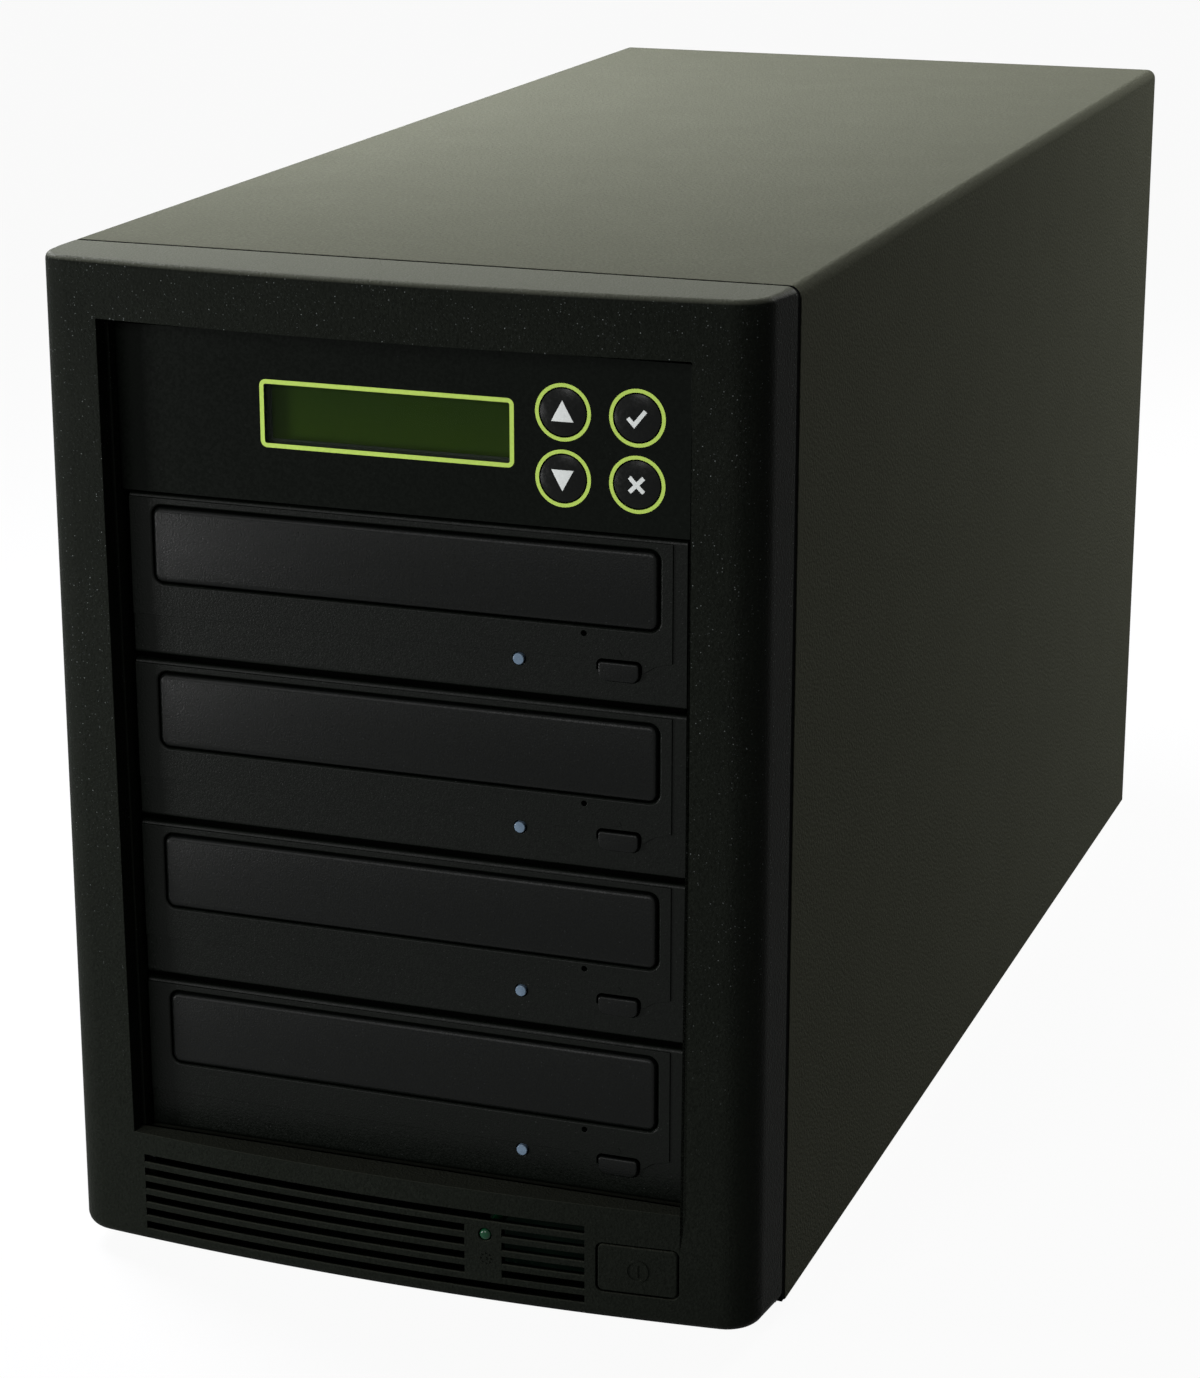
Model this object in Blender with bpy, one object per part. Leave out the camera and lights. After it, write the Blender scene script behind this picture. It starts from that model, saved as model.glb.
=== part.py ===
"""Disc duplicator tower with a control panel and four drive bays.

Metres, +Z up. The front faces -Y and +X is to the right of someone facing it.
The origin is under the middle of the tower, on the surface that its feet stand on.
"""
import math

import bmesh
import bpy
from mathutils import Vector

# Clearances, and how far a cutter runs past what it cuts
GAP = 0.0003
OVERRUN = 0.004

# Round steps
ARC_STEPS = 3
EDGE_STEPS = 4
ROUND_STEPS = 28
SMALL_ROUND_STEPS = 14
KEY_STEPS = 20
GUARD_STEPS = 24

# Case: folded steel cover over a steel base and rear panel
COVER_LENGTH = 0.4220
COVER_WALL = 0.0012
COVER_BEND_RADIUS = 0.0028
COVER_FLANGE = 0.0160
SHEET_WALL = 0.0010
BASE_FLANGE = 0.0120
SCREW_HEAD_RADIUS = 0.0036
SCREW_HEAD_HEIGHT = 0.0020
SCREW_SHANK_RADIUS = 0.0016
SCREW_SHANK_LENGTH = 0.0060
SCREW_HOLE_RADIUS = 0.0020
SCREW_LOW = 0.0300
SCREW_BELOW_TOP = 0.0285

# Feet
FOOT_HEIGHT = 0.0050
FOOT_RADIUS = 0.0100
FOOT_TAPER = 0.0010
FOOT_INSET_X = 0.0240
FOOT_INSET_Y = 0.0200

# Front bezel: one moulding, bowed across its front
BEZEL_DEPTH = 0.0277
BEZEL_WALL = 0.0025
BEZEL_DRAFT = 0.0012
BEZEL_CORNER_RADIUS = 0.0085
BEZEL_EDGE_RADIUS = 0.0035
BEZEL_TOP_RADIUS = 0.0018
BEZEL_SIDE_STEP = 0.00075
BEZEL_TOP_STEP = 0.0004
BEZEL_LIP = 0.0060
SEAM_GAP = 0.0008
SEAM_CLEARANCE = 0.0004
BOW_RADIUS = 0.7800
BOW_STEPS = 16
LEDGE_STEPS = 12
FACE_SETBACK = 0.0115
CHIN_HEIGHT = 0.0303
BROW_HEIGHT = 0.0139
BEZEL_SIDE = 0.01965
OPENING_SIDE_GAP = 0.0026
OPENING_TOP_GAP = 0.0011
OPENING_STEP = 0.0007
OPENING_STEP_DEPTH = 0.0030
TUNNEL_WALL = 0.0022
TUNNEL_LENGTH = 0.0060
LEDGE_DROP = 0.0038

# Louvre slots in the bezel's chin
SLOT_PITCH = 0.00385
SLOT_HEIGHT = 0.00175
SLOT_EDGE = 0.0012
SLOT_LIFT = 0.00155
SLOT_INSET = 0.02335
SLOT_TO_BUTTON = 0.0034
SLOT_ISLAND_LEFT = 0.0056
SLOT_ISLAND_RIGHT = 0.0044

# Power button, its light and the board behind them
POWER_INSET = 0.0313
POWER_WIDTH = 0.0207
POWER_HEIGHT = 0.0127
POWER_CORNER = 0.0014
POWER_CAP_DEPTH = 0.0070
POWER_FLANGE = 0.0010
POWER_STEM_RADIUS = 0.0030
POWER_TRAVEL = 0.0015
POWER_LIGHT_OFFSET = 0.04025
POWER_LIGHT_LIFT = 0.0047
POWER_LIGHT_RADIUS = 0.0015
BOARD_SETBACK = 0.0170
BOARD_WALL = 0.0016
BOARD_MARGIN = 0.0050
BOARD_HEADROOM = 0.003825
SWITCH_SIZE = 0.0060
SWITCH_HEIGHT = 0.0035

# Drives: the disc sets the tray's width, and the tray the drive's and the case's
BAY_COUNT = 4
BAY_GAP = 0.0016
BAY_LIFT = 0.0002
DISC_RADIUS = 0.0600
DISC_CLEARANCE = 0.0005
DISC_WELL_DEPTH = 0.0022
SMALL_WELL_RADIUS = 0.0405
SMALL_WELL_DEPTH = 0.0010
TRAY_SIDE_RIM = 0.0045
TRAY_RIM = 0.0040
TRAY_TAIL = 0.0250
TRAY_HEIGHT = 0.0060
TRAY_BELOW_DOOR_TOP = 0.0092
TRAY_CORNER = 0.0040
TRAY_SLOT_WIDTH = 0.0380
TRAY_SLOT_INSET = 0.0045
TRAY_SLOT_CORNER = 0.0150
FASCIA_OVERHANG = 0.00095
FASCIA_WALL = 0.0030
FASCIA_RELIEF = 0.0004
FASCIA_CHAMFER = 0.0010
FASCIA_STEP_INSET = 0.0036
FASCIA_STRIP_HEIGHT = 0.0193
RELIEF_HEIGHT = 0.0104
RELIEF_DIP = 0.0024
SHELL_INSET = 0.00035
SHELL_TAIL = 0.0150
SHELL_WALL = 0.0008
PLUG_SLOT_WIDTH = 0.0400
PLUG_SLOT_HEIGHT = 0.0090
DOOR_SHIFT = 0.00035
DOOR_OVERHANG = 0.00205
DOOR_HEIGHT = 0.0194
DOOR_BELOW_TOP = 0.0033
DOOR_CORNER = 0.0022
DOOR_WALL = 0.0022
DOOR_BEVEL = 0.0006
DOOR_GAP = 0.0005
LOADER_FLOOR = 0.0020
LOADER_WALL = 0.0025
LOADER_SHELF = 0.00415
LOADER_LEDGE = 0.0034
LOADER_SETBACK = 0.0040
LOADER_ABOVE_TRAY = 0.00295
SPINDLE_BASE_RADIUS = 0.0150
SPINDLE_HUB_RADIUS = 0.0080
SPINDLE_HUB_HEIGHT = 0.00525
SLED_WIDTH = 0.0320
SLED_LENGTH = 0.0240
SLED_BELOW_TRAY = 0.00805
EJECT_INSET = 0.0172
EJECT_RISE = 0.0080
EJECT_WIDTH = 0.0105
EJECT_HEIGHT = 0.0048
EJECT_TOP_CORNER = 0.0009
EJECT_LOW_CORNER = 0.0021
EJECT_PROUD = 0.0008
CAP_BEVEL = 0.0004
CAP_FLANGE = 0.0008
CAP_FLANGE_WALL = 0.0010
DRIVE_LIGHT_TO_EJECT = 0.0261
DRIVE_LIGHT_RISE = 0.0087
DRIVE_LIGHT_RADIUS = 0.00145
LIGHT_PROUD = 0.0002
PINHOLE_TO_EJECT = 0.0091
PINHOLE_BELOW_DOOR = 0.0024
PINHOLE_RADIUS = 0.00075

# Cage that carries the drives
CAGE_CLEARANCE = 0.0007
CAGE_LENGTH = 0.1480
CAGE_FOOT = 0.0150
CAGE_WINDOW_LENGTH = 0.0900
CAGE_WINDOW_HEIGHT = 0.0220

# Control panel, display and keys
PANEL_OVERHANG = 0.0010
PANEL_HEIGHT = 0.0446
PANEL_WALL = 0.0030
PANEL_CORNER = 0.0008
WINDOW_LIFT = 0.0002
WINDOW_WIDTH = 0.0654
WINDOW_HEIGHT = 0.0156
WINDOW_CORNER = 0.0012
WINDOW_WALL = 0.0012
WINDOW_TO_KEYS = 0.0075
DISPLAY_FRAME_SIDE = 0.0029
DISPLAY_FRAME_RIM = 0.0047
DISPLAY_FRAME_DEPTH = 0.0050
DISPLAY_CELL_INSET = 0.0005
DISPLAY_CELL_DEPTH = 0.0008
DISPLAY_BOARD_SIDE = 0.0063
DISPLAY_BOARD_RIM = 0.0092
DISPLAY_HEADER_WIDTH = 0.0410
DISPLAY_HEADER_HEIGHT = 0.0025
KEY_RADIUS = 0.0058
KEY_TRAVEL = 0.0008
KEY_DOME = 0.0006
KEY_STEM_RADIUS = 0.0020
KEY_INSET = 0.0137
KEY_COLUMN_PITCH = 0.0188
KEY_ROW_PITCH = 0.0162
KEYS_DROP = 0.0018
BRACKET_LENGTH = 0.0900
BRACKET_BELOW_PANEL = 0.0046
CONTROL_BOARD_SETBACK = 0.0150
CONTROL_BOARD_DROP = 0.0030

# Power supply with its mains inlet and rocker switch
SUPPLY_SIDE_ROOM = 0.02005
SUPPLY_LENGTH = 0.1400
SUPPLY_WINDOW_RIM = 0.0040
SUPPLY_VENT_WIDTH = 0.0036
SUPPLY_VENT_PITCH = 0.0082
SUPPLY_VENT_END = 0.0130
SUPPLY_VENT_INSET = 0.0116
SUPPLY_VENT_TO_INLET = 0.0200
INLET_INSET = 0.0250
INLET_RISE = 0.0260
INLET_FLANGE_WIDTH = 0.0305
INLET_FLANGE_HEIGHT = 0.0240
INLET_FLANGE_WALL = 0.0012
INLET_BODY_WIDTH = 0.0272
INLET_BODY_HEIGHT = 0.0196
INLET_BODY_LENGTH = 0.0200
INLET_SOCKET_WIDTH = 0.0246
INLET_SOCKET_HEIGHT = 0.0170
INLET_SOCKET_DEPTH = 0.0165
INLET_SOCKET_CORNER = 0.0042
INLET_CORNER = 0.0020
PIN_WIDTH = 0.0020
PIN_HEIGHT = 0.0040
PIN_LENGTH = 0.0140
PIN_SPREAD = 0.0070
PIN_OFFSET = 0.0020
ROCKER_ABOVE_INLET = 0.0340
ROCKER_BELOW_TOP = 0.0260
ROCKER_WIDTH = 0.0110
ROCKER_HEIGHT = 0.0160
ROCKER_RIM = 0.0024
ROCKER_FLANGE_WALL = 0.0012
ROCKER_HOUSING_WALL = 0.0012
ROCKER_HOUSING_DEPTH = 0.0130
ROCKER_CREST = 0.0022
ROCKER_DISH = 0.0012
ROCKER_PIVOT_DEPTH = 0.0030
ROCKER_SKIRT = 0.0040
ROCKER_TILT_DEG = 8.0
ROCKER_CLEARANCE = 0.0006

# Exhaust fan, its guard and the vents over it
FAN_SIZE = 0.0800
FAN_DEPTH = 0.0250
FAN_RIM = 0.0020
FAN_CORNER = 0.0045
FAN_MOTOR_RADIUS = 0.0170
FAN_MOTOR_DEPTH = 0.0040
FAN_STRUT_WIDTH = 0.0035
FAN_HOLE_INSET = 0.00425
FAN_HOLE_RADIUS = 0.0021
FAN_ABOVE_SUPPLY = 0.0130
ROTOR_TIP_GAP = 0.0012
ROTOR_HUB_RADIUS = 0.0165
ROTOR_SINK = 0.0027
BLADE_COUNT = 7
BLADE_WALL = 0.0014
BLADE_PITCH_DEG = 38.0
BLADE_STEPS = 4
BLADE_CHORD_SHARE = 0.9
GUARD_WIRE = 0.0015
GUARD_RING_COUNT = 4
GUARD_RING_PITCH = 0.0085
GUARD_INSET = 0.0005
GUARD_BITE = 0.0004
REAR_VENT_COUNT = 5
REAR_VENT_PITCH = 0.0080
REAR_VENT_HEIGHT = 0.0030
REAR_VENT_WIDTH = 0.0800
REAR_VENT_ABOVE_FAN = 0.0100

# Widths, from the disc outwards
DISC_WELL_RADIUS = DISC_RADIUS + DISC_CLEARANCE
TRAY_WIDTH = 2 * (DISC_WELL_RADIUS + TRAY_SIDE_RIM)
DOOR_WIDTH = TRAY_WIDTH + 2 * DOOR_OVERHANG
SHELL_WIDTH = TRAY_WIDTH + 2 * (LOADER_WALL + LOADER_SHELF + SHELL_WALL + 2 * GAP)
FASCIA_WIDTH = SHELL_WIDTH + 2 * FASCIA_OVERHANG
PANEL_WIDTH = FASCIA_WIDTH + 2 * PANEL_OVERHANG
OPENING_WIDTH = FASCIA_WIDTH + 2 * OPENING_SIDE_GAP
LEDGE_WIDTH = OPENING_WIDTH - 2 * GAP
COVER_WIDTH = OPENING_WIDTH + 2 * BEZEL_SIDE
SUPPLY_WIDTH = COVER_WIDTH - 2 * (COVER_WALL + SUPPLY_SIDE_ROOM)

# Heights, from one drive upwards
FASCIA_HEIGHT = FASCIA_STRIP_HEIGHT + DOOR_HEIGHT + DOOR_BELOW_TOP
SHELL_HEIGHT = FASCIA_HEIGHT - 2 * SHELL_INSET
BAY_PITCH = FASCIA_HEIGHT + BAY_GAP
PANEL_RISE = BAY_LIFT + (BAY_COUNT - 1) * BAY_PITCH + FASCIA_HEIGHT + 2 * GAP
OPENING_HEIGHT = PANEL_RISE + PANEL_HEIGHT + OPENING_TOP_GAP
COVER_HEIGHT = CHIN_HEIGHT + OPENING_HEIGHT + BROW_HEIGHT
BRACKET_HEIGHT = PANEL_HEIGHT - BRACKET_BELOW_PANEL
CONTROL_BOARD_HEIGHT = BRACKET_HEIGHT - CONTROL_BOARD_DROP
SUPPLY_HEIGHT = INLET_RISE + ROCKER_ABOVE_INLET + ROCKER_BELOW_TOP

# Lengths of the drive, and the fan's radii and depth
TRAY_LENGTH = TRAY_RIM + 2 * DISC_WELL_RADIUS + TRAY_TAIL
SHELL_LENGTH = TRAY_LENGTH + SHELL_TAIL
FAN_BORE_RADIUS = FAN_SIZE / 2 - FAN_RIM
FAN_HOLE_SPREAD = FAN_SIZE - 2 * FAN_HOLE_INSET
ROTOR_RADIUS = FAN_BORE_RADIUS - ROTOR_TIP_GAP
ROTOR_DEPTH = FAN_DEPTH - FAN_MOTOR_DEPTH - GAP - ROTOR_SINK
GUARD_OUTER_RADIUS = FAN_BORE_RADIUS - GUARD_INSET

# Places worked out from the sizes above
CASE_BOTTOM = FOOT_HEIGHT
CASE_TOP = CASE_BOTTOM + COVER_HEIGHT
CASE_DEPTH = BEZEL_DEPTH + SEAM_GAP + COVER_LENGTH + GAP + SCREW_HEAD_HEIGHT
FRONT = -CASE_DEPTH / 2
SEAM = FRONT + BEZEL_DEPTH
COVER_FRONT = SEAM + SEAM_GAP
COVER_BACK = COVER_FRONT + COVER_LENGTH
FACE = FRONT + FACE_SETBACK
BOW_CENTRE = FRONT + BOW_RADIUS
INSIDE_HALF = COVER_WIDTH / 2 - COVER_WALL
INSIDE_TOP = CASE_TOP - COVER_WALL
LIP_HALF = INSIDE_HALF - SEAM_CLEARANCE
LIP_TOP = INSIDE_TOP - SEAM_CLEARANCE
LIP_LOW = CASE_BOTTOM + SEAM_CLEARANCE
BEZEL_HALF = COVER_WIDTH / 2 - BEZEL_SIDE_STEP
BEZEL_TOP = CASE_TOP - BEZEL_TOP_STEP
BEZEL_BACK = COVER_FRONT + BEZEL_LIP
BAY_FLOOR = CASE_BOTTOM + CHIN_HEIGHT
OPENING_TOP = BAY_FLOOR + OPENING_HEIGHT
LEDGE_FRONT = BAY_FLOOR - LEDGE_DROP
TUNNEL_LOW = LEDGE_FRONT - SLOT_HEIGHT / 2
SHELL_FRONT = FASCIA_WALL + GAP
BASE_FRONT = BEZEL_BACK + GAP
BASE_TOP = CASE_BOTTOM + SHEET_WALL
REAR_OUTSIDE = COVER_BACK - COVER_WALL - GAP
REAR_INSIDE = REAR_OUTSIDE - SHEET_WALL
PANEL_BOTTOM = BAY_FLOOR + PANEL_RISE
PANEL_MIDDLE = PANEL_BOTTOM + PANEL_HEIGHT / 2
WINDOW_Z = PANEL_MIDDLE + WINDOW_LIFT
KEYS_Z = PANEL_MIDDLE - KEYS_DROP
KEY_FAR_X = PANEL_WIDTH / 2 - KEY_INSET
KEY_NEAR_X = KEY_FAR_X - KEY_COLUMN_PITCH
WINDOW_X = KEY_NEAR_X - KEY_RADIUS - WINDOW_TO_KEYS - WINDOW_WIDTH / 2
CAP_FLANGE_FRONT = FASCIA_WALL + GAP
EJECT_X = FASCIA_WIDTH / 2 - EJECT_INSET
DRIVE_LIGHT_X = EJECT_X - DRIVE_LIGHT_TO_EJECT
PINHOLE_X = EJECT_X - PINHOLE_TO_EJECT
PINHOLE_Z = FASCIA_STRIP_HEIGHT - PINHOLE_BELOW_DOOR
TRAY_TOP = FASCIA_HEIGHT - DOOR_BELOW_TOP - TRAY_BELOW_DOOR_TOP
TRAY_BOTTOM = TRAY_TOP - TRAY_HEIGHT
TRAY_FRONT = DOOR_WALL + GAP
DISC_CENTRE = TRAY_FRONT + TRAY_RIM + DISC_WELL_RADIUS
CAGE_HALF = SHELL_WIDTH / 2 + GAP
SUPPLY_BACK = REAR_INSIDE - GAP
SUPPLY_BOTTOM = BASE_TOP + GAP
SUPPLY_TOP = SUPPLY_BOTTOM + SUPPLY_HEIGHT
FAN_CENTRE = SUPPLY_TOP + FAN_ABOVE_SUPPLY + FAN_SIZE / 2
FAN_BACK = REAR_INSIDE - GAP
INLET_X = SUPPLY_WIDTH / 2 - INLET_INSET
INLET_Z = SUPPLY_BOTTOM + INLET_RISE
ROCKER_PIVOT_Y = SUPPLY_BACK - ROCKER_PIVOT_DEPTH
ROCKER_PIVOT_Z = INLET_Z + ROCKER_ABOVE_INLET
POWER_X = COVER_WIDTH / 2 - POWER_INSET
POWER_Z = (CASE_BOTTOM + LEDGE_FRONT) / 2 + SLOT_LIFT
POWER_LIGHT_X = POWER_X - POWER_LIGHT_OFFSET
POWER_LIGHT_Z = POWER_Z + POWER_LIGHT_LIFT
SLOT_COUNT = int((LEDGE_FRONT - CASE_BOTTOM - 2 * SLOT_EDGE) / SLOT_PITCH)
SLOT_LEFT = SLOT_INSET - COVER_WIDTH / 2
SLOT_RIGHT = POWER_X - POWER_WIDTH / 2 - SLOT_TO_BUTTON

MATERIALS = {
    "powder_coat": ((0.060, 0.061, 0.050), 0.55, 0.0),
    "bezel_plastic": ((0.012, 0.014, 0.013), 0.45, 0.0),
    "fascia_plastic": ((0.013, 0.014, 0.014), 0.42, 0.0),
    "door_plastic": ((0.017, 0.018, 0.019), 0.40, 0.0),
    "panel_film": ((0.010, 0.011, 0.011), 0.30, 0.0),
    "key_film": ((0.008, 0.009, 0.009), 0.25, 0.0),
    "window_glass": ((0.050, 0.090, 0.030), 0.08, 0.0),
    "display_frame": ((0.020, 0.020, 0.020), 0.50, 0.0),
    "circuit_board": ((0.010, 0.080, 0.030), 0.50, 0.0),
    "drive_light": ((0.120, 0.180, 0.240), 0.20, 0.0),
    "power_light": ((0.000, 0.080, 0.030), 0.15, 0.0),
    "zinc_steel": ((0.420, 0.430, 0.430), 0.40, 0.9),
    "screw_steel": ((0.080, 0.080, 0.085), 0.35, 0.8),
    "tray_plastic": ((0.020, 0.020, 0.021), 0.50, 0.0),
    "loader_plastic": ((0.035, 0.035, 0.036), 0.60, 0.0),
    "fan_plastic": ((0.010, 0.010, 0.010), 0.45, 0.0),
    "inlet_plastic": ((0.012, 0.012, 0.012), 0.40, 0.0),
    "rubber": ((0.015, 0.015, 0.015), 0.85, 0.0),
}


def clear_scene():
    for old in list(bpy.data.objects):
        bpy.data.objects.remove(old, do_unlink=True)


def material(slot):
    found = bpy.data.materials.get(slot)
    if found:
        return found
    colour, roughness, metallic = MATERIALS[slot]
    made = bpy.data.materials.new(slot)
    made.use_nodes = True
    shader = made.node_tree.nodes["Principled BSDF"]
    shader.inputs["Base Color"].default_value = (*colour, 1.0)
    shader.inputs["Roughness"].default_value = roughness
    shader.inputs["Metallic"].default_value = metallic
    made.diffuse_color = (*colour, 1.0)
    return made


def along(axis, first, second, height):
    """A point of an outline, raised along an axis: X takes (y, z), Y takes (x, z) and Z takes (x, y)."""
    places = {
        "X": (height, first, second),
        "Y": (first, height, second),
        "Z": (first, second, height),
    }
    return Vector(places[axis])


def loft(name, rings):
    """One closed solid through rings with the same number of points."""
    mesh = bpy.data.meshes.new(name)
    body = bmesh.new()
    rows = [[body.verts.new(point) for point in ring] for ring in rings]
    for lower, upper in zip(rows, rows[1:]):
        for i in range(len(lower)):
            j = (i + 1) % len(lower)
            body.faces.new((lower[i], lower[j], upper[j], upper[i]))
    body.faces.new(reversed(rows[0]))
    body.faces.new(rows[-1])
    bmesh.ops.recalc_face_normals(body, faces=body.faces)
    body.to_mesh(mesh)
    body.free()
    made = bpy.data.objects.new(name, mesh)
    bpy.context.scene.collection.objects.link(made)
    return made


def prism(name, outline, axis, low, high):
    return loft(name, [[along(axis, *point, height) for point in outline] for height in (low, high)])


def stepped(name, outline, axis, steps):
    """A solid whose outline is drawn in by the inset given at each height."""
    return loft(name, [[along(axis, *point, height) for point in outline(inset)] for height, inset in steps])


def box(name, low, high):
    outline = [(low[0], low[1]), (high[0], low[1]), (high[0], high[1]), (low[0], high[1])]
    return prism(name, outline, "Z", low[2], high[2])


def combine(target, tool, operation):
    """Boolean of two solids, kept in the first. The second is used up."""
    step = target.modifiers.new(tool.name, "BOOLEAN")
    step.operation = operation
    step.solver = "EXACT"
    step.object = tool
    tool.hide_render = True
    tool.display_type = "WIRE"
    bpy.context.view_layer.update()
    graph = bpy.context.evaluated_depsgraph_get()
    result = bpy.data.meshes.new_from_object(target.evaluated_get(graph))
    target.modifiers.clear()
    target.data = result
    bpy.data.objects.remove(tool, do_unlink=True)
    return target


def cut(target, tool):
    return combine(target, tool, "DIFFERENCE")


def fuse(target, tool):
    return combine(target, tool, "UNION")


def finish(made, slot, crease_deg=35.0):
    made.data.materials.clear()
    made.data.materials.append(material(slot))
    made.data.shade_smooth()
    made.data.set_sharp_from_angle(angle=math.radians(crease_deg))
    return made


def copy_of(made, name, location):
    twin = bpy.data.objects.new(name, made.data)
    twin.location = location
    bpy.context.scene.collection.objects.link(twin)
    return twin


def arc(centre_x, centre_y, radius, start_deg, end_deg, steps):
    points = []
    for i in range(steps + 1):
        angle = math.radians(start_deg + (end_deg - start_deg) * i / steps)
        points.append((centre_x + radius * math.cos(angle), centre_y + radius * math.sin(angle)))
    return points


def circle(centre_x, centre_y, radius, steps=ROUND_STEPS):
    return arc(centre_x, centre_y, radius, 0, 360, steps)[:-1]


def round_outline(centre_x, centre_y, radius, steps=ROUND_STEPS):
    return lambda inset: circle(centre_x, centre_y, radius - inset, steps)


def capped_rectangle(centre_x, centre_y, width, height, top_corner, low_corner, steps=ARC_STEPS):
    """Outline of a rectangle whose upper and lower corners have their own radii."""
    right = centre_x + width / 2
    left = centre_x - width / 2
    top = centre_y + height / 2
    low = centre_y - height / 2
    points = arc(right - low_corner, low + low_corner, low_corner, -90, 0, steps)
    points += arc(right - top_corner, top - top_corner, top_corner, 0, 90, steps)
    points += arc(left + top_corner, top - top_corner, top_corner, 90, 180, steps)
    points += arc(left + low_corner, low + low_corner, low_corner, 180, 270, steps)
    return points


def rounded(centre_x, centre_y, width, height, corner, steps=ARC_STEPS):
    return capped_rectangle(centre_x, centre_y, width, height, corner, corner, steps)


def rounded_outline(centre_x, centre_y, width, height, corner, steps=ARC_STEPS):
    def outline(inset):
        radius = max(corner - inset, corner / 4)
        return rounded(centre_x, centre_y, width - 2 * inset, height - 2 * inset, radius, steps)
    return outline


def mirrored(points):
    """An outline from its right half: the same points, and then their mirror images in reverse."""
    return points + [(-x, y) for x, y in reversed(points)]


def hood(half, top, radius, low):
    """Outline of a folded hood, open or closed at its lower edge, with two bends at the top."""
    return mirrored([(half, low)] + arc(half - radius, top - radius, radius, 0, 90, ARC_STEPS))


def bezel_plan(inset, back):
    """Plan of the bezel: bowed front, round corners and drafted sides, all drawn in by the inset."""
    corner_x = BEZEL_HALF - BEZEL_DRAFT - BEZEL_CORNER_RADIUS
    reach = BOW_RADIUS - BEZEL_CORNER_RADIUS
    corner_y = BOW_CENTRE - math.sqrt(reach ** 2 - corner_x ** 2)
    lean = math.degrees(math.asin(corner_x / reach))
    points = [(BEZEL_HALF - inset, back)]
    points += arc(corner_x, corner_y, BEZEL_CORNER_RADIUS - inset, 0, lean - 90, EDGE_STEPS)
    points += arc(0, BOW_CENTRE, BOW_RADIUS - inset, lean - 90, -lean - 90, BOW_STEPS)[1:-1]
    points += arc(-corner_x, corner_y, BEZEL_CORNER_RADIUS - inset, -lean - 90, -180, EDGE_STEPS)
    points += [(inset - BEZEL_HALF, back)]
    return points


def edge_round(radius):
    """Rise and inset of each ring of a round edge."""
    turns = [math.radians(90 * turn / EDGE_STEPS) for turn in range(EDGE_STEPS + 1)]
    return [(radius * (1 - math.cos(turn)), radius * (1 - math.sin(turn))) for turn in turns]


def bezel_skin(name):
    """The bezel's outer form up to the seam, with round top and bottom edges."""
    rings = [(CASE_BOTTOM + rise, inset) for rise, inset in edge_round(BEZEL_EDGE_RADIUS)]
    rings += [(BEZEL_TOP - rise, inset) for rise, inset in reversed(edge_round(BEZEL_TOP_RADIUS))]
    return loft(name, [[(x, y, z) for x, y in bezel_plan(inset, SEAM)] for z, inset in rings])


def bezel_lip():
    """The part of the bezel that goes into the case cover."""
    return prism("lip", hood(LIP_HALF, LIP_TOP, COVER_BEND_RADIUS, LIP_LOW), "Y", SEAM - OVERRUN, BEZEL_BACK)


def bezel_cavity():
    """The hollow behind the bezel, with the tunnel round the bays left standing."""
    half = OPENING_WIDTH / 2 + TUNNEL_WALL
    low = CASE_BOTTOM + BEZEL_WALL
    high = BEZEL_TOP - BEZEL_WALL
    plan = bezel_plan(BEZEL_WALL, BEZEL_BACK + OVERRUN)
    cavity = prism("cavity", plan, "Z", low, high)
    top = OPENING_TOP + TUNNEL_WALL
    tunnel = box("tunnel", (-half, FRONT, TUNNEL_LOW), (half, FACE + TUNNEL_LENGTH, top))
    return cut(cavity, tunnel)


def bezel_opening():
    """The opening for the bays: a stepped tunnel whose floor runs out over a sloping ledge."""
    half = OPENING_WIDTH / 2
    opening = box(
        "opening",
        (OPENING_STEP - half, FRONT, BAY_FLOOR),
        (half - OPENING_STEP, FACE + TUNNEL_LENGTH + OVERRUN, OPENING_TOP - OPENING_STEP),
    )
    mouth_back = FACE - OPENING_STEP_DEPTH
    mouth = box("mouth", (-half, FRONT - OVERRUN, BAY_FLOOR), (half, mouth_back, OPENING_TOP))
    fuse(opening, mouth)
    return fuse(opening, bezel_ledge())


def bezel_ledge():
    """Cutter for the ledge: it slopes out of the opening, most in the middle of the bowed front."""
    ledge_front = FRONT - OVERRUN
    top = BAY_FLOOR + OPENING_STEP
    rings = []
    for step in range(LEDGE_STEPS + 1):
        share = 2 * step / LEDGE_STEPS - 1
        x = share * LEDGE_WIDTH / 2
        front = BOW_CENTRE - math.sqrt(BOW_RADIUS ** 2 - x ** 2)
        slope = LEDGE_DROP * (1 - share ** 2) / (FACE - front)
        low = BAY_FLOOR - slope * (FACE - ledge_front)
        rings.append([(x, FACE, BAY_FLOOR), (x, FACE, top), (x, ledge_front, top), (x, ledge_front, low)])
    return loft("ledge", rings)


def slot_spans(row):
    """Where a row of slots is open: rows between the first and last stop at the light's island."""
    if row in (0, SLOT_COUNT - 1):
        return [(SLOT_LEFT, SLOT_RIGHT)]
    island = (POWER_LIGHT_X - SLOT_ISLAND_LEFT, POWER_LIGHT_X + SLOT_ISLAND_RIGHT)
    return [(SLOT_LEFT, island[0]), (island[1], SLOT_RIGHT)]


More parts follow.
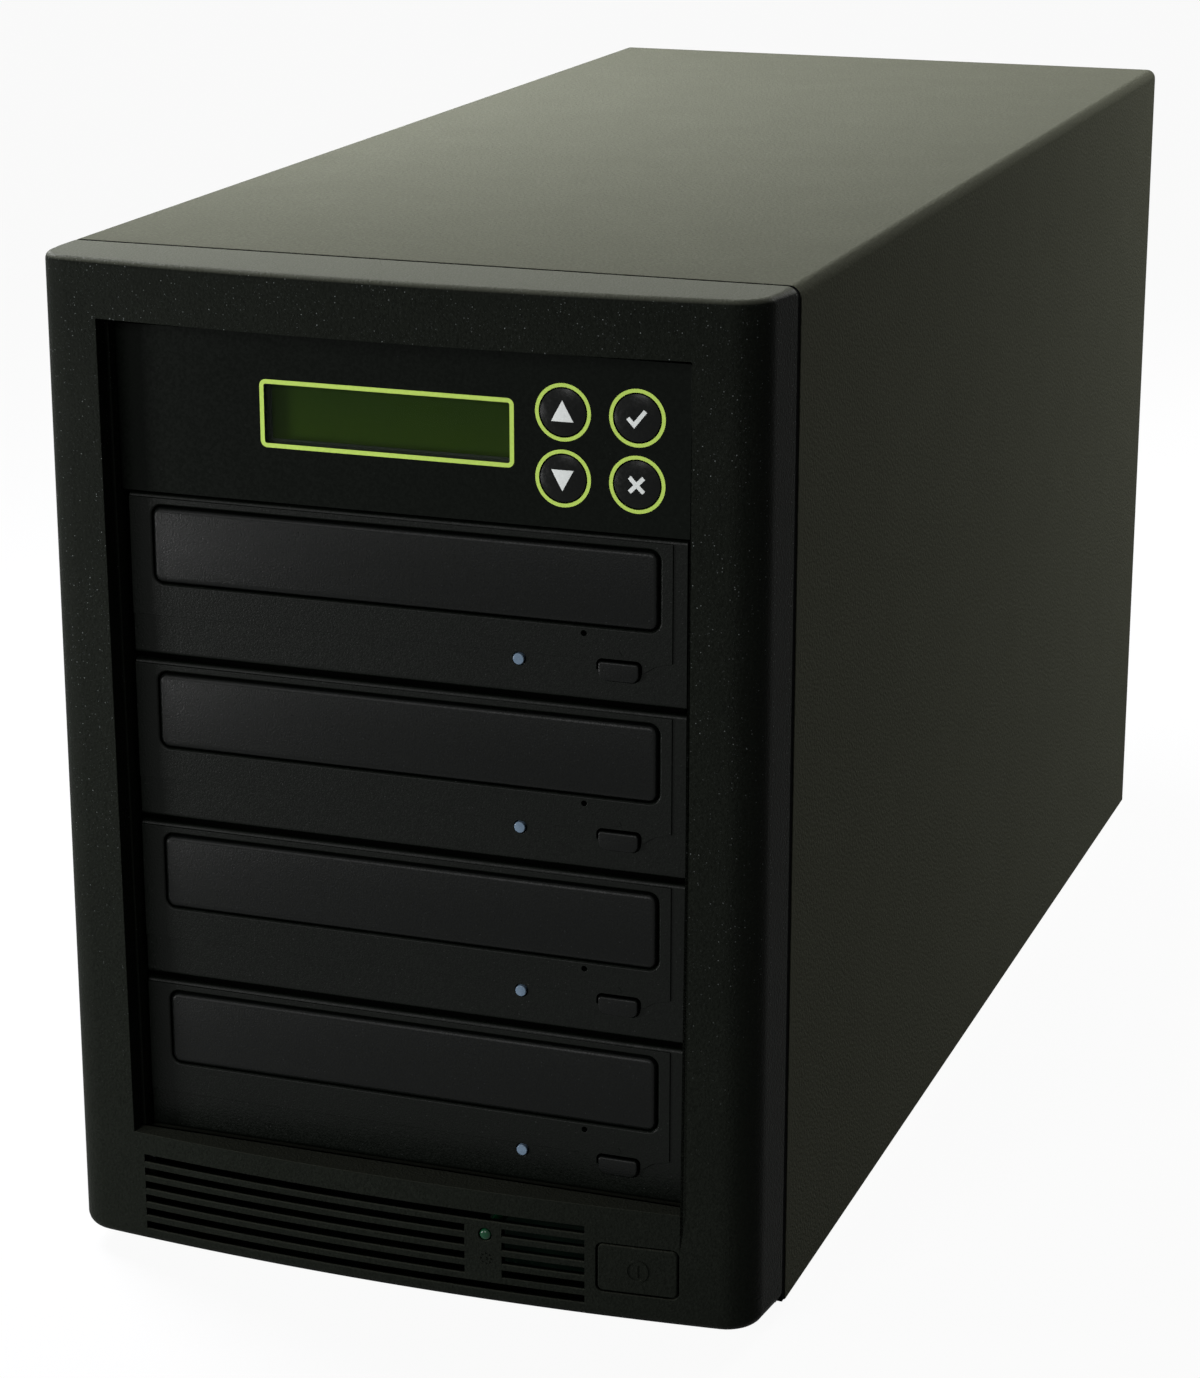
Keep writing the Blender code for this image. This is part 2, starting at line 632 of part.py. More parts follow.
def build_front_bezel():
    bezel = fuse(bezel_skin("front_bezel"), bezel_lip())
    cut(bezel, bezel_cavity())
    cut(bezel, bezel_opening())
    slot_back = FRONT + FACE_SETBACK
    first = POWER_Z - SLOT_PITCH * (SLOT_COUNT - 1) / 2
    for row in range(SLOT_COUNT):
        low = first + SLOT_PITCH * row - SLOT_HEIGHT / 2
        for left, right in slot_spans(row):
            slot = box("slot", (left, FRONT - OVERRUN, low), (right, slot_back, low + SLOT_HEIGHT))
            cut(bezel, slot)
    button = rounded(POWER_X, POWER_Z, POWER_WIDTH + 2 * GAP, POWER_HEIGHT + 2 * GAP, POWER_CORNER + GAP)
    cut(bezel, prism("button_hole", button, "Y", FRONT - OVERRUN, slot_back))
    light = circle(POWER_LIGHT_X, POWER_LIGHT_Z, POWER_LIGHT_RADIUS + GAP, SMALL_ROUND_STEPS)
    cut(bezel, prism("light_hole", light, "Y", FRONT - OVERRUN, slot_back))
    return finish(bezel, "bezel_plastic")


def build_case_cover():
    half = COVER_WIDTH / 2
    outer = hood(half, CASE_TOP, COVER_BEND_RADIUS, CASE_BOTTOM)
    cover = prism("case_cover", outer, "Y", COVER_FRONT, COVER_BACK)
    inner = hood(INSIDE_HALF, INSIDE_TOP, COVER_BEND_RADIUS - COVER_WALL, CASE_BOTTOM - OVERRUN)
    cut(cover, prism("inside", inner, "Y", COVER_FRONT - OVERRUN, COVER_BACK - COVER_WALL))
    rim = hood(half - COVER_FLANGE, CASE_TOP - COVER_FLANGE, COVER_BEND_RADIUS, CASE_BOTTOM - OVERRUN)
    cut(cover, prism("back_opening", rim, "Y", COVER_BACK - COVER_WALL - OVERRUN, COVER_BACK + OVERRUN))
    for x, z in screw_places():
        hole = circle(x, z, SCREW_HOLE_RADIUS, SMALL_ROUND_STEPS)
        cut(cover, prism("screw_hole", hole, "Y", COVER_BACK - COVER_WALL - OVERRUN, COVER_BACK + OVERRUN))
    return finish(cover, "powder_coat")


def screw_places():
    x = COVER_WIDTH / 2 - COVER_FLANGE / 2 - SCREW_HOLE_RADIUS / 2
    heights = (CASE_BOTTOM + SCREW_LOW, CASE_TOP - SCREW_BELOW_TOP)
    return [(side * x, height) for height in heights for side in (-1, 1)]


def build_cover_screws():
    steps = [
        (COVER_BACK + GAP + SCREW_HEAD_HEIGHT, SCREW_HEAD_RADIUS / 3),
        (COVER_BACK + GAP + SCREW_HEAD_HEIGHT * 2 / 3, SCREW_HEAD_RADIUS / 12),
        (COVER_BACK + GAP, 0),
        (COVER_BACK + GAP, SCREW_HEAD_RADIUS - SCREW_SHANK_RADIUS),
        (COVER_BACK + GAP - SCREW_SHANK_LENGTH, SCREW_HEAD_RADIUS - SCREW_SHANK_RADIUS),
    ]
    outline = round_outline(0, 0, SCREW_HEAD_RADIUS, SMALL_ROUND_STEPS)
    first = None
    for number, (x, z) in enumerate(screw_places(), 1):
        name = f"cover_screw_{number}"
        if first is None:
            first = finish(stepped(name, outline, "Y", steps), "screw_steel")
            first.location = (x, 0, z)
        else:
            copy_of(first, name, (x, 0, z))


def build_chassis_base():
    half = INSIDE_HALF - GAP
    back = REAR_INSIDE - GAP
    base = box("chassis_base", (-half, BASE_FRONT, CASE_BOTTOM), (half, back, CASE_BOTTOM + BASE_FLANGE))
    hollow = box(
        "hollow",
        (SHEET_WALL - half, BASE_FRONT + SHEET_WALL, BASE_TOP),
        (half - SHEET_WALL, back + OVERRUN, CASE_BOTTOM + BASE_FLANGE + OVERRUN),
    )
    return finish(cut(base, hollow), "zinc_steel")


def build_feet():
    x = COVER_WIDTH / 2 - FOOT_INSET_X
    front = BASE_FRONT + FOOT_INSET_Y
    back = REAR_INSIDE - FOOT_INSET_Y
    steps = [(0, FOOT_TAPER), (FOOT_TAPER, 0), (FOOT_HEIGHT - GAP, FOOT_TAPER / 2)]
    first = None
    places = [(-x, front), (x, front), (-x, back), (x, back)]
    for name, (foot_x, foot_y) in zip(("front_left", "front_right", "rear_left", "rear_right"), places):
        if first is None:
            first = stepped(f"foot_{name}", round_outline(0, 0, FOOT_RADIUS, SMALL_ROUND_STEPS), "Z", steps)
            finish(first, "rubber")
            first.location = (foot_x, foot_y, 0)
        else:
            copy_of(first, f"foot_{name}", (foot_x, foot_y, 0))


def build_rear_panel():
    outline = hood(INSIDE_HALF - GAP, INSIDE_TOP - GAP, COVER_BEND_RADIUS, CASE_BOTTOM)
    panel = prism("rear_panel", outline, "Y", REAR_INSIDE, REAR_OUTSIDE)
    low = REAR_INSIDE - OVERRUN
    high = REAR_OUTSIDE + OVERRUN
    rim = 2 * SUPPLY_WINDOW_RIM
    centre = SUPPLY_BOTTOM + SUPPLY_HEIGHT / 2
    window = rounded(0, centre, SUPPLY_WIDTH - rim, SUPPLY_HEIGHT - rim, SUPPLY_WINDOW_RIM)
    cut(panel, prism("supply_window", window, "Y", low, high))
    cut(panel, prism("fan_hole", circle(0, FAN_CENTRE, FAN_BORE_RADIUS), "Y", low, high))
    for x, z in screw_places():
        hole = circle(x, z, SCREW_HOLE_RADIUS, SMALL_ROUND_STEPS)
        cut(panel, prism("screw_hole", hole, "Y", low, high))
    vent_first = FAN_CENTRE + FAN_SIZE / 2 + REAR_VENT_ABOVE_FAN
    for row in range(REAR_VENT_COUNT):
        height = vent_first + REAR_VENT_PITCH * row
        vent = rounded(0, height, REAR_VENT_WIDTH, REAR_VENT_HEIGHT, REAR_VENT_HEIGHT / 2, 2)
        cut(panel, prism("vent", vent, "Y", low, high))
    return finish(panel, "powder_coat")


def bay_bottom(bay):
    """Height of a fascia's lower edge. Bay 1 is the top one."""
    return BAY_FLOOR + BAY_LIFT + (BAY_COUNT - bay) * BAY_PITCH


def build_drive_cage():
    low = BASE_TOP + GAP
    top = PANEL_BOTTOM + SHELL_INSET + BRACKET_HEIGHT + GAP
    outer = CAGE_HALF + SHEET_WALL
    foot = CAGE_HALF + CAGE_FOOT
    outline = mirrored([(CAGE_HALF, top), (CAGE_HALF, low), (foot, low), (foot, low + SHEET_WALL),
                        (outer, low + SHEET_WALL), (outer, top + SHEET_WALL)])
    front = BASE_FRONT + SHEET_WALL + CAGE_CLEARANCE
    cage = prism("drive_cage", outline, "Y", front, front + CAGE_LENGTH)
    middle = front + CAGE_LENGTH / 2
    for bay in range(1, BAY_COUNT + 1):
        height = bay_bottom(bay) + FASCIA_HEIGHT / 2
        window = rounded(middle, height, CAGE_WINDOW_LENGTH, CAGE_WINDOW_HEIGHT, SHEET_WALL * 4, 2)
        cut(cage, prism("window", window, "X", -outer - OVERRUN, outer + OVERRUN))
    return finish(cage, "zinc_steel")


def door_outline(inset):
    middle = FASCIA_STRIP_HEIGHT + DOOR_HEIGHT / 2
    return rounded_outline(-DOOR_SHIFT, middle, DOOR_WIDTH, DOOR_HEIGHT, DOOR_CORNER)(inset)


def eject_outline(inset):
    top_corner = max(EJECT_TOP_CORNER - inset, EJECT_TOP_CORNER / 4)
    low_corner = max(EJECT_LOW_CORNER - inset, EJECT_LOW_CORNER / 4)
    width = EJECT_WIDTH - 2 * inset
    height = EJECT_HEIGHT - 2 * inset
    return capped_rectangle(EJECT_X, EJECT_RISE, width, height, top_corner, low_corner)


def drive_light_outline(inset):
    return circle(DRIVE_LIGHT_X, DRIVE_LIGHT_RISE, DRIVE_LIGHT_RADIUS - inset, SMALL_ROUND_STEPS)


def build_fascia():
    """A drive's front: a plate with a raised field whose lower edge dips at the eject button."""
    half = FASCIA_WIDTH / 2
    top = FASCIA_HEIGHT
    chamfer_back = FASCIA_RELIEF + FASCIA_CHAMFER
    profile = [(FASCIA_WALL, 0), (chamfer_back, 0), (FASCIA_RELIEF, FASCIA_CHAMFER),
               (FASCIA_RELIEF, top - FASCIA_CHAMFER), (chamfer_back, top), (FASCIA_WALL, top)]
    fascia = prism("drive_1_fascia", profile, "X", -half, half)
    dip = RELIEF_HEIGHT - RELIEF_DIP
    field_top = top - FASCIA_CHAMFER
    field = [
        (-half, RELIEF_HEIGHT),
        (EJECT_X - EJECT_WIDTH, RELIEF_HEIGHT),
        (EJECT_X - EJECT_WIDTH * 2 / 3, RELIEF_HEIGHT - RELIEF_DIP / 3),
        (EJECT_X - EJECT_WIDTH / 2, dip),
        (EJECT_X + EJECT_WIDTH / 2, dip),
        (EJECT_X + EJECT_WIDTH, RELIEF_HEIGHT),
        (half - FASCIA_STEP_INSET, RELIEF_HEIGHT + RELIEF_DIP / 3),
        (half - FASCIA_STEP_INSET, field_top),
        (-half, field_top),
    ]
    fuse(fascia, prism("field", field, "Y", 0, (FASCIA_RELIEF + FASCIA_WALL) / 2))
    cut(fascia, prism("door_hole", door_outline(-DOOR_GAP), "Y", -OVERRUN, FASCIA_WALL + OVERRUN))
    cut(fascia, prism("eject_hole", eject_outline(-GAP), "Y", -OVERRUN, FASCIA_WALL + OVERRUN))
    cut(fascia, prism("light_hole", drive_light_outline(-GAP), "Y", -OVERRUN, FASCIA_WALL + OVERRUN))
    pinhole = circle(PINHOLE_X, PINHOLE_Z, PINHOLE_RADIUS, SMALL_ROUND_STEPS // 2)
    cut(fascia, prism("pinhole", pinhole, "Y", -OVERRUN, FASCIA_WALL + OVERRUN))
    return finish(fascia, "fascia_plastic")


def build_shell():
    half = SHELL_WIDTH / 2
    low = SHELL_INSET
    top = SHELL_INSET + SHELL_HEIGHT
    back = SHELL_FRONT + SHELL_LENGTH
    shell = box("drive_1_shell", (-half, SHELL_FRONT, low), (half, back, top))
    inside = box(
        "inside",
        (SHELL_WALL - half, SHELL_FRONT - OVERRUN, low + SHELL_WALL),
        (half - SHELL_WALL, back - SHELL_WALL, top - SHELL_WALL),
    )
    cut(shell, inside)
    plug_low = low + 2 * SHELL_WALL
    slot = box(
        "plug_slot",
        (half - SHELL_WALL * 4 - PLUG_SLOT_WIDTH, back - OVERRUN, plug_low),
        (half - SHELL_WALL * 4, back + OVERRUN, plug_low + PLUG_SLOT_HEIGHT),
    )
    return finish(cut(shell, slot), "zinc_steel")


def build_loader():
    """The loader frame in a drive: a channel with ledges under the tray, a spindle and a laser sled."""
    outer = SHELL_WIDTH / 2 - SHELL_WALL - GAP
    low = SHELL_INSET + SHELL_WALL + GAP
    floor = low + LOADER_FLOOR
    top = TRAY_TOP + LOADER_ABOVE_TRAY
    inner = TRAY_WIDTH / 2 + GAP
    ledge_top = TRAY_BOTTOM - GAP
    ledge_low = ledge_top - LOADER_LEDGE
    outline = mirrored([(outer, low), (outer, floor), (inner + LOADER_WALL, floor),
                        (inner + LOADER_WALL, top), (inner, top),
                        (inner, ledge_top), (inner - LOADER_LEDGE, ledge_top),
                        (inner - LOADER_LEDGE, ledge_low), (inner, ledge_low), (inner, floor)])
    front = SHELL_FRONT + LOADER_SETBACK
    back = SHELL_FRONT + SHELL_LENGTH - SHELL_WALL - LOADER_SETBACK
    loader = prism("drive_1_loader", outline, "Y", front, back)
    hub_top = TRAY_BOTTOM - SHELL_WALL
    steps = [
        (low + LOADER_FLOOR / 2, 0),
        (hub_top - SPINDLE_HUB_HEIGHT, 0),
        (hub_top - SPINDLE_HUB_HEIGHT, SPINDLE_BASE_RADIUS - SPINDLE_HUB_RADIUS),
        (hub_top, SPINDLE_BASE_RADIUS - SPINDLE_HUB_RADIUS),
    ]
    spindle = round_outline(0, DISC_CENTRE, SPINDLE_BASE_RADIUS, SMALL_ROUND_STEPS)
    fuse(loader, stepped("spindle", spindle, "Z", steps))
    sled_front = DISC_CENTRE + SPINDLE_BASE_RADIUS + SHELL_WALL
    sled = box(
        "sled",
        (-SLED_WIDTH / 2, sled_front, low + LOADER_FLOOR / 2),
        (SLED_WIDTH / 2, sled_front + SLED_LENGTH, TRAY_BOTTOM - SLED_BELOW_TRAY),
    )
    return finish(fuse(loader, sled), "loader_plastic")


def build_tray():
    middle = TRAY_FRONT + TRAY_LENGTH / 2
    plan = rounded(0, middle, TRAY_WIDTH, TRAY_LENGTH, TRAY_CORNER)
    tray = prism("drive_1_tray", plan, "Z", TRAY_BOTTOM, TRAY_TOP)
    well = circle(0, DISC_CENTRE, DISC_WELL_RADIUS, ROUND_STEPS * 3 // 2)
    cut(tray, prism("well", well, "Z", TRAY_TOP - DISC_WELL_DEPTH, TRAY_TOP + OVERRUN))
    small_floor = TRAY_TOP - DISC_WELL_DEPTH - SMALL_WELL_DEPTH
    small = circle(0, DISC_CENTRE, SMALL_WELL_RADIUS, ROUND_STEPS)
    cut(tray, prism("small_well", small, "Z", small_floor, TRAY_TOP + OVERRUN))
    slot_front = DISC_CENTRE - TRAY_SLOT_WIDTH / 2
    slot_back = DISC_CENTRE + DISC_WELL_RADIUS - TRAY_SLOT_INSET
    slot_middle = (slot_front + slot_back) / 2
    slot = rounded(0, slot_middle, TRAY_SLOT_WIDTH, slot_back - slot_front, TRAY_SLOT_CORNER)
    cut(tray, prism("slot", slot, "Z", TRAY_BOTTOM - OVERRUN, TRAY_TOP + OVERRUN))
    return finish(tray, "tray_plastic")


def build_door():
    steps = [(-FASCIA_RELIEF, DOOR_BEVEL), (DOOR_BEVEL - FASCIA_RELIEF, 0), (DOOR_WALL, 0)]
    return finish(stepped("drive_1_door", door_outline, "Y", steps), "door_plastic")


def cap_steps(proud, bevel):
    """A small cap that stands proud of a fascia, with a flange that keeps it in from behind."""
    flange_back = CAP_FLANGE_FRONT + CAP_FLANGE_WALL
    return [(-proud, bevel), (bevel - proud, 0), (CAP_FLANGE_FRONT, 0),
            (CAP_FLANGE_FRONT, -CAP_FLANGE), (flange_back, -CAP_FLANGE)]


def build_eject_button():
    made = stepped("drive_1_eject_button", eject_outline, "Y", cap_steps(EJECT_PROUD, CAP_BEVEL))
    return finish(made, "door_plastic")


def build_drive_light():
    made = stepped("drive_1_light", drive_light_outline, "Y", cap_steps(LIGHT_PROUD, CAP_BEVEL))
    return finish(made, "drive_light")


def build_drives():
    """Four like drives, each from the same seven pieces. The first is modelled, the rest are its copies."""
    pieces = {
        "fascia": build_fascia(),
        "shell": build_shell(),
        "loader": build_loader(),
        "tray": build_tray(),
        "door": build_door(),
        "eject_button": build_eject_button(),
        "light": build_drive_light(),
    }
    for kind, first in pieces.items():
        first.location = (0, FACE, bay_bottom(1))
        for bay in range(2, BAY_COUNT + 1):
            copy_of(first, f"drive_{bay}_{kind}", (0, FACE, bay_bottom(bay)))


def key_places():
    high = KEYS_Z + KEY_ROW_PITCH / 2
    low = KEYS_Z - KEY_ROW_PITCH / 2
    return {
        "button_up": (KEY_NEAR_X, high),
        "button_down": (KEY_NEAR_X, low),
        "button_enter": (KEY_FAR_X, high),
        "button_escape": (KEY_FAR_X, low),
    }


def build_control_panel():
    plate = rounded(0, PANEL_MIDDLE, PANEL_WIDTH, PANEL_HEIGHT, PANEL_CORNER, 2)
    panel = prism("control_panel", plate, "Y", FACE, FACE + PANEL_WALL)
    low = FACE - OVERRUN
    high = FACE + PANEL_WALL + OVERRUN
    window = window_outline(GAP)
    cut(panel, prism("window_hole", window, "Y", low, high))
    for x, z in key_places().values():
        cut(panel, prism("key_hole", circle(x, z, KEY_RADIUS + GAP, KEY_STEPS), "Y", low, high))
    return finish(panel, "panel_film")


def build_keys():
    """Four round keys with domed tops, each with a flange behind the panel and a stem to its switch."""
    flange_front = PANEL_WALL + GAP
    flange_back = flange_front + CAP_FLANGE_WALL
    stem_back = CONTROL_BOARD_SETBACK - SWITCH_HEIGHT - KEY_TRAVEL - GAP
    steps = [
        (-KEY_DOME, KEY_RADIUS / 2),
        (-KEY_DOME * 2 / 3, KEY_RADIUS / 5),
        (0, 0),
        (flange_front, 0),
        (flange_front, -CAP_FLANGE),
        (flange_back, -CAP_FLANGE),
        (flange_back, KEY_RADIUS - KEY_STEM_RADIUS),
        (stem_back, KEY_RADIUS - KEY_STEM_RADIUS),
    ]
    first = None
    for name, (x, z) in key_places().items():
        if first is None:
            first = finish(stepped(name, round_outline(0, 0, KEY_RADIUS, KEY_STEPS), "Y", steps), "key_film")
            first.location = (x, FACE, z)
        else:
            copy_of(first, name, (x, FACE, z))


def window_outline(margin):
    width = WINDOW_WIDTH + 2 * margin
    height = WINDOW_HEIGHT + 2 * margin
    return rounded(WINDOW_X, WINDOW_Z, width, height, WINDOW_CORNER + margin)


def build_display():
    finish(prism("lcd_window", window_outline(0), "Y", FACE, FACE + WINDOW_WALL), "window_glass")
    front = FACE + PANEL_WALL + GAP
    frame_back = front + DISPLAY_FRAME_DEPTH
    frame_width = WINDOW_WIDTH + 2 * DISPLAY_FRAME_SIDE
    frame_height = WINDOW_HEIGHT + 2 * DISPLAY_FRAME_RIM
    frame = rounded(WINDOW_X, WINDOW_Z, frame_width, frame_height, WINDOW_CORNER, 2)
    module = prism("lcd_module", frame, "Y", front, frame_back + BOARD_WALL / 2)
    cell = window_outline(-DISPLAY_CELL_INSET)
    cut(module, prism("cell", cell, "Y", front - OVERRUN, front + DISPLAY_CELL_DEPTH))
    board_width = WINDOW_WIDTH + 2 * DISPLAY_BOARD_SIDE
    board_height = WINDOW_HEIGHT + 2 * DISPLAY_BOARD_RIM
    board = rounded(WINDOW_X, WINDOW_Z, board_width, board_height, WINDOW_CORNER, 2)
    fuse(module, prism("board", board, "Y", frame_back, frame_back + BOARD_WALL))
    header_top = WINDOW_Z + board_height / 2 - DISPLAY_HEADER_HEIGHT
    header_low = header_top - DISPLAY_HEADER_HEIGHT
    header = box(
        "header",
        (WINDOW_X - DISPLAY_HEADER_WIDTH / 2, frame_back + BOARD_WALL / 2, header_low),
        (WINDOW_X + DISPLAY_HEADER_WIDTH / 2, FACE + CONTROL_BOARD_SETBACK - GAP, header_top),
    )
    finish(fuse(module, header), "display_frame")


def build_control_board():
    """The controller's board, upright in its bracket, with a switch behind each key."""
    half = SHELL_WIDTH / 2 - SHEET_WALL - GAP
    low = PANEL_BOTTOM + SHELL_INSET + SHEET_WALL + GAP
    front = FACE + CONTROL_BOARD_SETBACK
    top = low + CONTROL_BOARD_HEIGHT
    board = box("controller_board", (-half, front, low), (half, front + BOARD_WALL, top))
    for x, z in key_places().values():
        reach = SWITCH_SIZE / 2
        switch = box(
            "switch",
            (x - reach, front - SWITCH_HEIGHT, z - reach),
            (x + reach, front + BOARD_WALL / 2, z + reach),
        )
        fuse(board, switch)
    return finish(board, "circuit_board")


def build_panel_bracket():
    """Folded channel in the top bay, which carries the controller's board and the panel."""
    half = SHELL_WIDTH / 2
    low = PANEL_BOTTOM + SHELL_INSET
    top = low + BRACKET_HEIGHT
    inner = half - SHEET_WALL
    outline = mirrored([(half, low), (half, top), (inner, top), (inner, low + SHEET_WALL)])
    front = FACE + PANEL_WALL + GAP
    return finish(prism("panel_bracket", outline, "Y", front, front + BRACKET_LENGTH), "zinc_steel")


def build_power_controls():
    """Power button with its stem, the light beside it and the board behind them."""
    board_front = FRONT + BOARD_SETBACK
    cap_back = FRONT + POWER_CAP_DEPTH
    flange_back = cap_back + POWER_FLANGE
    stem_back = board_front - SWITCH_HEIGHT - POWER_TRAVEL - GAP
    outline = rounded_outline(POWER_X, POWER_Z, POWER_WIDTH, POWER_HEIGHT, POWER_CORNER)
    steps = [(FRONT - OVERRUN, 0), (cap_back, 0), (cap_back, -POWER_FLANGE), (flange_back, -POWER_FLANGE)]
    button = stepped("power_button", outline, "Y", steps)
    combine(button, bezel_skin("skin"), "INTERSECT")
    stem = circle(POWER_X, POWER_Z, POWER_STEM_RADIUS, SMALL_ROUND_STEPS)
    fuse(button, prism("stem", stem, "Y", cap_back, stem_back))
    finish(button, "bezel_plastic")

    floor = CASE_BOTTOM + BEZEL_WALL + GAP
    top = TUNNEL_LOW - BOARD_HEADROOM
    left = POWER_LIGHT_X - BOARD_MARGIN
    right = POWER_X + BOARD_MARGIN
    board = box("switch_board", (left, board_front, floor), (right, board_front + BOARD_WALL, top))
    reach = SWITCH_SIZE / 2
    switch = box(
        "switch",
        (POWER_X - reach, board_front - SWITCH_HEIGHT, POWER_Z - reach),
        (POWER_X + reach, board_front + BOARD_WALL / 2, POWER_Z + reach),
    )
    finish(fuse(board, switch), "circuit_board")

    steps = [
        (FRONT, POWER_LIGHT_RADIUS * 2 / 3),
        (FRONT + CAP_BEVEL, POWER_LIGHT_RADIUS / 4),
        (FRONT + 2 * CAP_BEVEL, 0),
        (board_front - GAP, 0),
    ]
    outline = round_outline(POWER_LIGHT_X, POWER_LIGHT_Z, POWER_LIGHT_RADIUS, SMALL_ROUND_STEPS)
    finish(stepped("power_light", outline, "Y", steps), "power_light")


def socket_outline(centre_x, centre_z, width, height, corner):
    """Outline of the inlet's socket: a rectangle with its two upper corners cut off."""
    right = centre_x + width / 2
    left = centre_x - width / 2
    top = centre_z + height / 2
    low = centre_z - height / 2
    return [(right, low), (right, top - corner), (right - corner, top),
            (left + corner, top), (left, top - corner), (left, low)]


def build_power_supply():
    half = SUPPLY_WIDTH / 2
    front = SUPPLY_BACK - SUPPLY_LENGTH
    supply = box("power_supply", (-half, front, SUPPLY_BOTTOM), (half, SUPPLY_BACK, SUPPLY_TOP))
    inside = box(
        "inside",
        (SHEET_WALL - half, front + SHEET_WALL, SUPPLY_BOTTOM + SHEET_WALL),
        (half - SHEET_WALL, SUPPLY_BACK - SHEET_WALL, SUPPLY_TOP - SHEET_WALL),
    )
    cut(supply, inside)
    centre = SUPPLY_BOTTOM + SUPPLY_HEIGHT / 2
    vent_height = SUPPLY_HEIGHT - 2 * SUPPLY_VENT_END
    for x in supply_vent_places():
        vent = rounded(x, centre, SUPPLY_VENT_WIDTH, vent_height, SUPPLY_VENT_WIDTH / 3, 1)
        cut(supply, prism("vent", vent, "Y", SUPPLY_BACK - OVERRUN, SUPPLY_BACK + OVERRUN))
    inlet = inlet_body_outline(GAP)
    cut(supply, prism("inlet_hole", inlet, "Y", SUPPLY_BACK - OVERRUN, SUPPLY_BACK + OVERRUN))
    rocker = rocker_rectangle(ROCKER_CLEARANCE + ROCKER_HOUSING_WALL + GAP)
    cut(supply, prism("rocker_hole", rocker, "Y", SUPPLY_BACK - OVERRUN, SUPPLY_BACK + OVERRUN))
    return finish(supply, "zinc_steel")


def supply_vent_places():
    """Middles of the upright vents, from the supply's left side as far as its inlet allows."""
    first = SUPPLY_VENT_INSET - SUPPLY_WIDTH / 2
    last = INLET_X - INLET_FLANGE_WIDTH / 2 - SUPPLY_VENT_TO_INLET
    count = int((last - first) / SUPPLY_VENT_PITCH) + 1
    return [first + SUPPLY_VENT_PITCH * column for column in range(count)]


def inlet_body_outline(margin):
    width = INLET_BODY_WIDTH + 2 * margin
    height = INLET_BODY_HEIGHT + 2 * margin
    return rounded(INLET_X, INLET_Z, width, height, INLET_CORNER / 2, 2)


def rocker_rectangle(margin):
    width = ROCKER_WIDTH + 2 * margin
    height = ROCKER_HEIGHT + 2 * margin
    return rounded(INLET_X, ROCKER_PIVOT_Z, width, height, ROCKER_HOUSING_WALL / 2, 2)


def build_inlet():
    """Mains inlet: a flanged body with a socket and three blades."""
    mouth = SUPPLY_BACK + GAP + INLET_FLANGE_WALL
    flange = rounded(INLET_X, INLET_Z, INLET_FLANGE_WIDTH, INLET_FLANGE_HEIGHT, INLET_CORNER, 3)
    inlet = prism("mains_inlet", flange, "Y", SUPPLY_BACK + GAP, mouth)
    body = inlet_body_outline(0)
    fuse(inlet, prism("body", body, "Y", mouth - INLET_BODY_LENGTH, mouth - INLET_FLANGE_WALL / 2))
    socket_back = mouth - INLET_SOCKET_DEPTH
    socket = socket_outline(INLET_X, INLET_Z, INLET_SOCKET_WIDTH, INLET_SOCKET_HEIGHT, INLET_SOCKET_CORNER)
    cut(inlet, prism("socket", socket, "Y", socket_back, mouth + OVERRUN))
    for shift_x, shift_z in ((-PIN_SPREAD, -PIN_OFFSET), (0, PIN_OFFSET), (PIN_SPREAD, -PIN_OFFSET)):
        x = INLET_X + shift_x
        z = INLET_Z + shift_z
        blade = box(
            "blade",
            (x - PIN_WIDTH / 2, socket_back - INLET_FLANGE_WALL, z - PIN_HEIGHT / 2),
            (x + PIN_WIDTH / 2, socket_back + PIN_LENGTH, z + PIN_HEIGHT / 2),
        )
        fuse(inlet, blade)
    return finish(inlet, "inlet_plastic")


def build_rocker_switch():
    """Rocker switch: a housing in the supply's face, and a rocker tilted about its pivot."""
    mouth = SUPPLY_BACK + GAP + ROCKER_FLANGE_WALL
    cavity_margin = ROCKER_CLEARANCE
    body_margin = cavity_margin + ROCKER_HOUSING_WALL
    housing = prism("rocker_housing", rocker_rectangle(ROCKER_RIM), "Y", SUPPLY_BACK + GAP, mouth)
    body_back = mouth - ROCKER_HOUSING_DEPTH
    body = rocker_rectangle(body_margin)
    fuse(housing, prism("body", body, "Y", body_back, mouth - ROCKER_FLANGE_WALL / 2))
    cavity = rocker_rectangle(cavity_margin)
    cut(housing, prism("cavity", cavity, "Y", body_back + ROCKER_HOUSING_WALL, mouth + OVERRUN))
    finish(housing, "inlet_plastic")

    reach = ROCKER_HEIGHT / 2
    crest = ROCKER_PIVOT_DEPTH + GAP + ROCKER_FLANGE_WALL + ROCKER_CREST
    profile = [(crest - ROCKER_DISH, 0), (crest, reach), (-ROCKER_SKIRT, reach / 2),
               (-ROCKER_SKIRT, -reach / 2), (crest, -reach)]
    tilt = math.radians(ROCKER_TILT_DEG)
    turned = []
    for y, z in profile:
        turned.append((y * math.cos(tilt) - z * math.sin(tilt), y * math.sin(tilt) + z * math.cos(tilt)))
    rocker = prism("supply_rocker", turned, "X", -ROCKER_WIDTH / 2, ROCKER_WIDTH / 2)
    rocker.location = (INLET_X, ROCKER_PIVOT_Y, ROCKER_PIVOT_Z)
    finish(rocker, "inlet_plastic")


